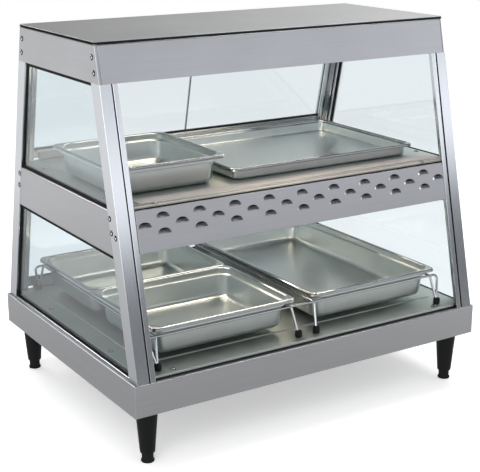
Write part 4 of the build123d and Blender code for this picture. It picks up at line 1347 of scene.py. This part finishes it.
class DISPLAY_CASE_OT_stage(bpy.types.Operator):
    """Lay the floor and set the lamps, the backdrop and the camera"""

    bl_idname = "display_case.stage"
    bl_label = "Stage"

    # Name, place and size in metres, watts, and the rays that pass each soft box by. None shows through
    # the panes, because the shadow rays already bring its light through them.
    soft_boxes = (
        ("overhead", (1.15, 0.2, 2.35), 1.0, 26, ("transmission",)),
        ("behind", (-0.7, 2.3, 1.9), 1.0, 16, ("transmission",)),
        ("fill", (-2.2, -2.0, 2.2), 2.0, 40, ("transmission", "glossy")),
        ("left_card", (-2.88, -1.34, 0.88), 1.3, 13, ("transmission", "diffuse")),
        ("right_card", (2.98, -0.86, 1.25), 1.0, 14, ("transmission", "diffuse")),
    )

    def execute(self, context):
        scene = context.scene
        scene.view_settings.view_transform = "Standard"
        self.floor()
        self.backdrop(scene)
        for soft_box in self.soft_boxes:
            self.lamp(*soft_box)
        self.camera(scene)
        return {"FINISHED"}

    def floor(self):
        """Pale floor: white to the camera outside the shadow of the case; through the panes a painted glow,
        brighter near the case, in place of its shade; in the metal a painted shade, greyer near the case and
        far in front.
        """
        white = (1, 1, 1, 1)
        floor = started("floor", bpy.ops.mesh.primitive_plane_add, size=60)
        material, tree, at = start_finish("pale_floor")
        path = add(tree, "ShaderNodeLightPath")
        paint = add(tree, "ShaderNodeBsdfPrincipled", {
            "Base Color": (*colours().backdrop, 1.0), "Roughness": 0.9
        })
        share = add(tree, "ShaderNodeMath", {0: path.outputs["Is Camera Ray"], 1: 0.34}, operation="MULTIPLY")
        glow = add(tree, "ShaderNodeEmission", {"Color": white, "Strength": share.outputs[0]})
        lit = add(tree, "ShaderNodeAddShader", {0: paint.outputs[0], 1: glow.outputs[0]})
        away = add(tree, "ShaderNodeVectorMath", {0: at.outputs["Object"]}, operation="LENGTH").outputs["Value"]
        # Through the panes the floor is emission only: painted light, brighter near the case, that hides the
        # case's shadow.
        near = add(tree, "ShaderNodeMapRange", {
            "Value": away, "From Min": 1.0, "From Max": 3.0, "To Min": 1.12, "To Max": 0.95
        })
        painted_glow_behind_glass = add(tree, "ShaderNodeEmission", {"Color": white, "Strength": near.outputs[0]})
        shown = add(tree, "ShaderNodeMixShader", {
            0: path.outputs["Is Transmission Ray"], 1: lit.outputs[0], 2: painted_glow_behind_glass.outputs[0]
        })
        # In reflections the floor is emission only: painted shade, darker near the case and far in front.
        shade_near_case = add(tree, "ShaderNodeMapRange", {
            "Value": away, "From Min": 0.5, "From Max": 2.2, "To Min": 0.5, "To Max": 0.95
        })
        place = add(tree, "ShaderNodeSeparateXYZ", {0: at.outputs["Object"]})
        front = add(tree, "ShaderNodeMapRange", {
            "Value": place.outputs[1], "From Min": -4.0, "From Max": -1.0, "To Min": 0.25, "To Max": 1.0
        })
        painted_floor_shade = add(tree, "ShaderNodeMath", {0: shade_near_case.outputs[0], 1: front.outputs[0]}, operation="MULTIPLY")
        mirrored = add(tree, "ShaderNodeEmission", {"Color": white, "Strength": painted_floor_shade.outputs[0]})
        end_finish(tree, add(tree, "ShaderNodeMixShader", {
            0: self.reflected(path, tree), 1: shown.outputs[0], 2: mirrored.outputs[0]
        }))
        floor.data.materials.append(material)

    def reflected(self, path, tree):
        """One for rays that come from a reflection, also where they go on through glass."""
        return add(tree, "ShaderNodeMath", {
            0: path.outputs["Glossy Depth"], 1: 0.5
        }, operation="GREATER_THAN").outputs[0]

    def backdrop(self, scene):
        """White behind the case, a soft grey that lights it, and in its metal a room, dim low in front."""
        world = bpy.data.worlds.new("studio")
        scene.world = world
        world.use_nodes = True
        tree = world.node_tree
        tree.nodes.clear()
        path = add(tree, "ShaderNodeLightPath")
        at = add(tree, "ShaderNodeTexCoord")
        aim = add(tree, "ShaderNodeSeparateXYZ", {0: at.outputs["Generated"]})
        rise = add(tree, "ShaderNodeMapRange", {
            "Value": aim.outputs[2], "From Min": 0.07, "From Max": 0.135, "To Min": 0.22, "To Max": 1.5
        }, interpolation_type="SMOOTHSTEP")
        fall = add(tree, "ShaderNodeMapRange", {
            "Value": aim.outputs[2], "From Min": 0.135, "From Max": 0.24, "To Min": 1.0, "To Max": 0.57
        }, interpolation_type="SMOOTHSTEP")
        front = add(tree, "ShaderNodeMath", {0: rise.outputs[0], 1: fall.outputs[0]}, operation="MULTIPLY")
        ceiling = add(tree, "ShaderNodeMapRange", {
            "Value": aim.outputs[2], "From Min": 0.4, "From Max": 0.55, "To Min": 1.0, "To Max": 0.12
        })
        back = add(tree, "ShaderNodeMapRange", {
            "Value": aim.outputs[0], "From Min": 0.36, "From Max": 0.68, "To Min": 0.42, "To Max": 0.95
        })
        is_back = add(tree, "ShaderNodeMapRange", {
            "Value": aim.outputs[1], "From Min": -0.3, "From Max": 0.3
        }, interpolation_type="SMOOTHSTEP")
        room = add(tree, "ShaderNodeMix", {
            "Factor": is_back.outputs[0], "A": front.outputs[0], "B": back.outputs[0]
        }, data_type="FLOAT")
        bright = add(tree, "ShaderNodeMath", {
            0: room.outputs["Result"], 1: ceiling.outputs[0]
        }, operation="MULTIPLY")
        cool = add(tree, "ShaderNodeMix", {
            "Factor": is_back.outputs[0], "A": (0.97, 0.99, 1.04, 1), "B": (1, 1, 0.98, 1)
        }, data_type="RGBA")
        soft = add(tree, "ShaderNodeBackground", {"Color": (1, 1, 1, 1), "Strength": 0.75})
        white = add(tree, "ShaderNodeBackground", {"Color": (1, 1, 1, 1), "Strength": 1.0})
        mirrored = add(tree, "ShaderNodeBackground", {
            "Color": cool.outputs["Result"], "Strength": bright.outputs[0]
        })
        seen = add(tree, "ShaderNodeMath", {
            0: path.outputs["Is Camera Ray"], 1: path.outputs["Is Transmission Ray"]
        }, operation="MAXIMUM")
        plain = add(tree, "ShaderNodeMixShader", {0: seen.outputs[0], 1: soft.outputs[0], 2: white.outputs[0]})
        shown = add(tree, "ShaderNodeMixShader", {
            0: self.reflected(path, tree), 1: plain.outputs[0], 2: mirrored.outputs[0]
        })
        add(tree, "ShaderNodeOutputWorld", {"Surface": shown.outputs[0]})

    def lamp(self, name, place, size, power, passed_by):
        """Square soft box aimed at the middle of the case."""
        aim = Vector((0, 0, 0.4)) - Vector(place)
        bpy.ops.object.light_add(
            type="AREA", location=place, rotation=aim.to_track_quat("-Z", "Y").to_euler()
        )
        lamp = bpy.context.object
        lamp.name = name
        lamp.data.size = size
        lamp.data.energy = power
        for rays in passed_by:
            setattr(lamp, "visible_" + rays, False)

    def camera(self, scene):
        """Camera in front, to the left and above, for a picture 480 pixels wide."""
        down, turn, focal = 16.51, -32.45, 1179
        bpy.ops.object.camera_add(
            location=(-1.3085, -2.0702, 1.0434), rotation=(math.radians(90 - down), 0, math.radians(turn))
        )
        camera = bpy.context.object
        camera.data.sensor_fit = "HORIZONTAL"
        camera.data.sensor_width = 36.0
        camera.data.lens = camera.data.sensor_width * focal / 480
        scene.camera = camera


OPERATORS = (
    DISPLAY_CASE_OT_base, DISPLAY_CASE_OT_decks, DISPLAY_CASE_OT_screws, DISPLAY_CASE_OT_legs,
    DISPLAY_CASE_OT_posts, DISPLAY_CASE_OT_shelf, DISPLAY_CASE_OT_canopy, DISPLAY_CASE_OT_glass,
    DISPLAY_CASE_OT_doors, DISPLAY_CASE_OT_lamps, DISPLAY_CASE_OT_controls, DISPLAY_CASE_OT_rack,
    DISPLAY_CASE_OT_pans, DISPLAY_CASE_OT_inner_fittings, DISPLAY_CASE_OT_stage,
)


class VIEW3D_PT_display_case(bpy.types.Panel):
    """Sidebar panel of the display case"""

    bl_label = "Heated Display Case"
    bl_space_type = "VIEW_3D"
    bl_region_type = "UI"
    bl_category = "Display Case"

    def draw(self, context):
        layout = self.layout
        for operator in OPERATORS:
            layout.operator(operator.bl_idname)
        for group in (context.scene.case_sizes, context.scene.case_colours):
            box = layout.box()
            for name in group.__annotations__:
                box.prop(group, name)


CLASSES = (CaseSizes, CaseColours, *OPERATORS, VIEW3D_PT_display_case)


def register():
    for one in CLASSES:
        bpy.utils.register_class(one)
    bpy.types.Scene.case_sizes = PointerProperty(type=CaseSizes)
    bpy.types.Scene.case_colours = PointerProperty(type=CaseColours)


def unregister():
    del bpy.types.Scene.case_colours
    del bpy.types.Scene.case_sizes
    for one in reversed(CLASSES):
        bpy.utils.unregister_class(one)


def main():
    """Build the case around its frame."""
    register()
    for operator in OPERATORS:
        group, name = operator.bl_idname.split(".")
        getattr(getattr(bpy.ops, group), name)()


if __name__ == "__main__":
    main()
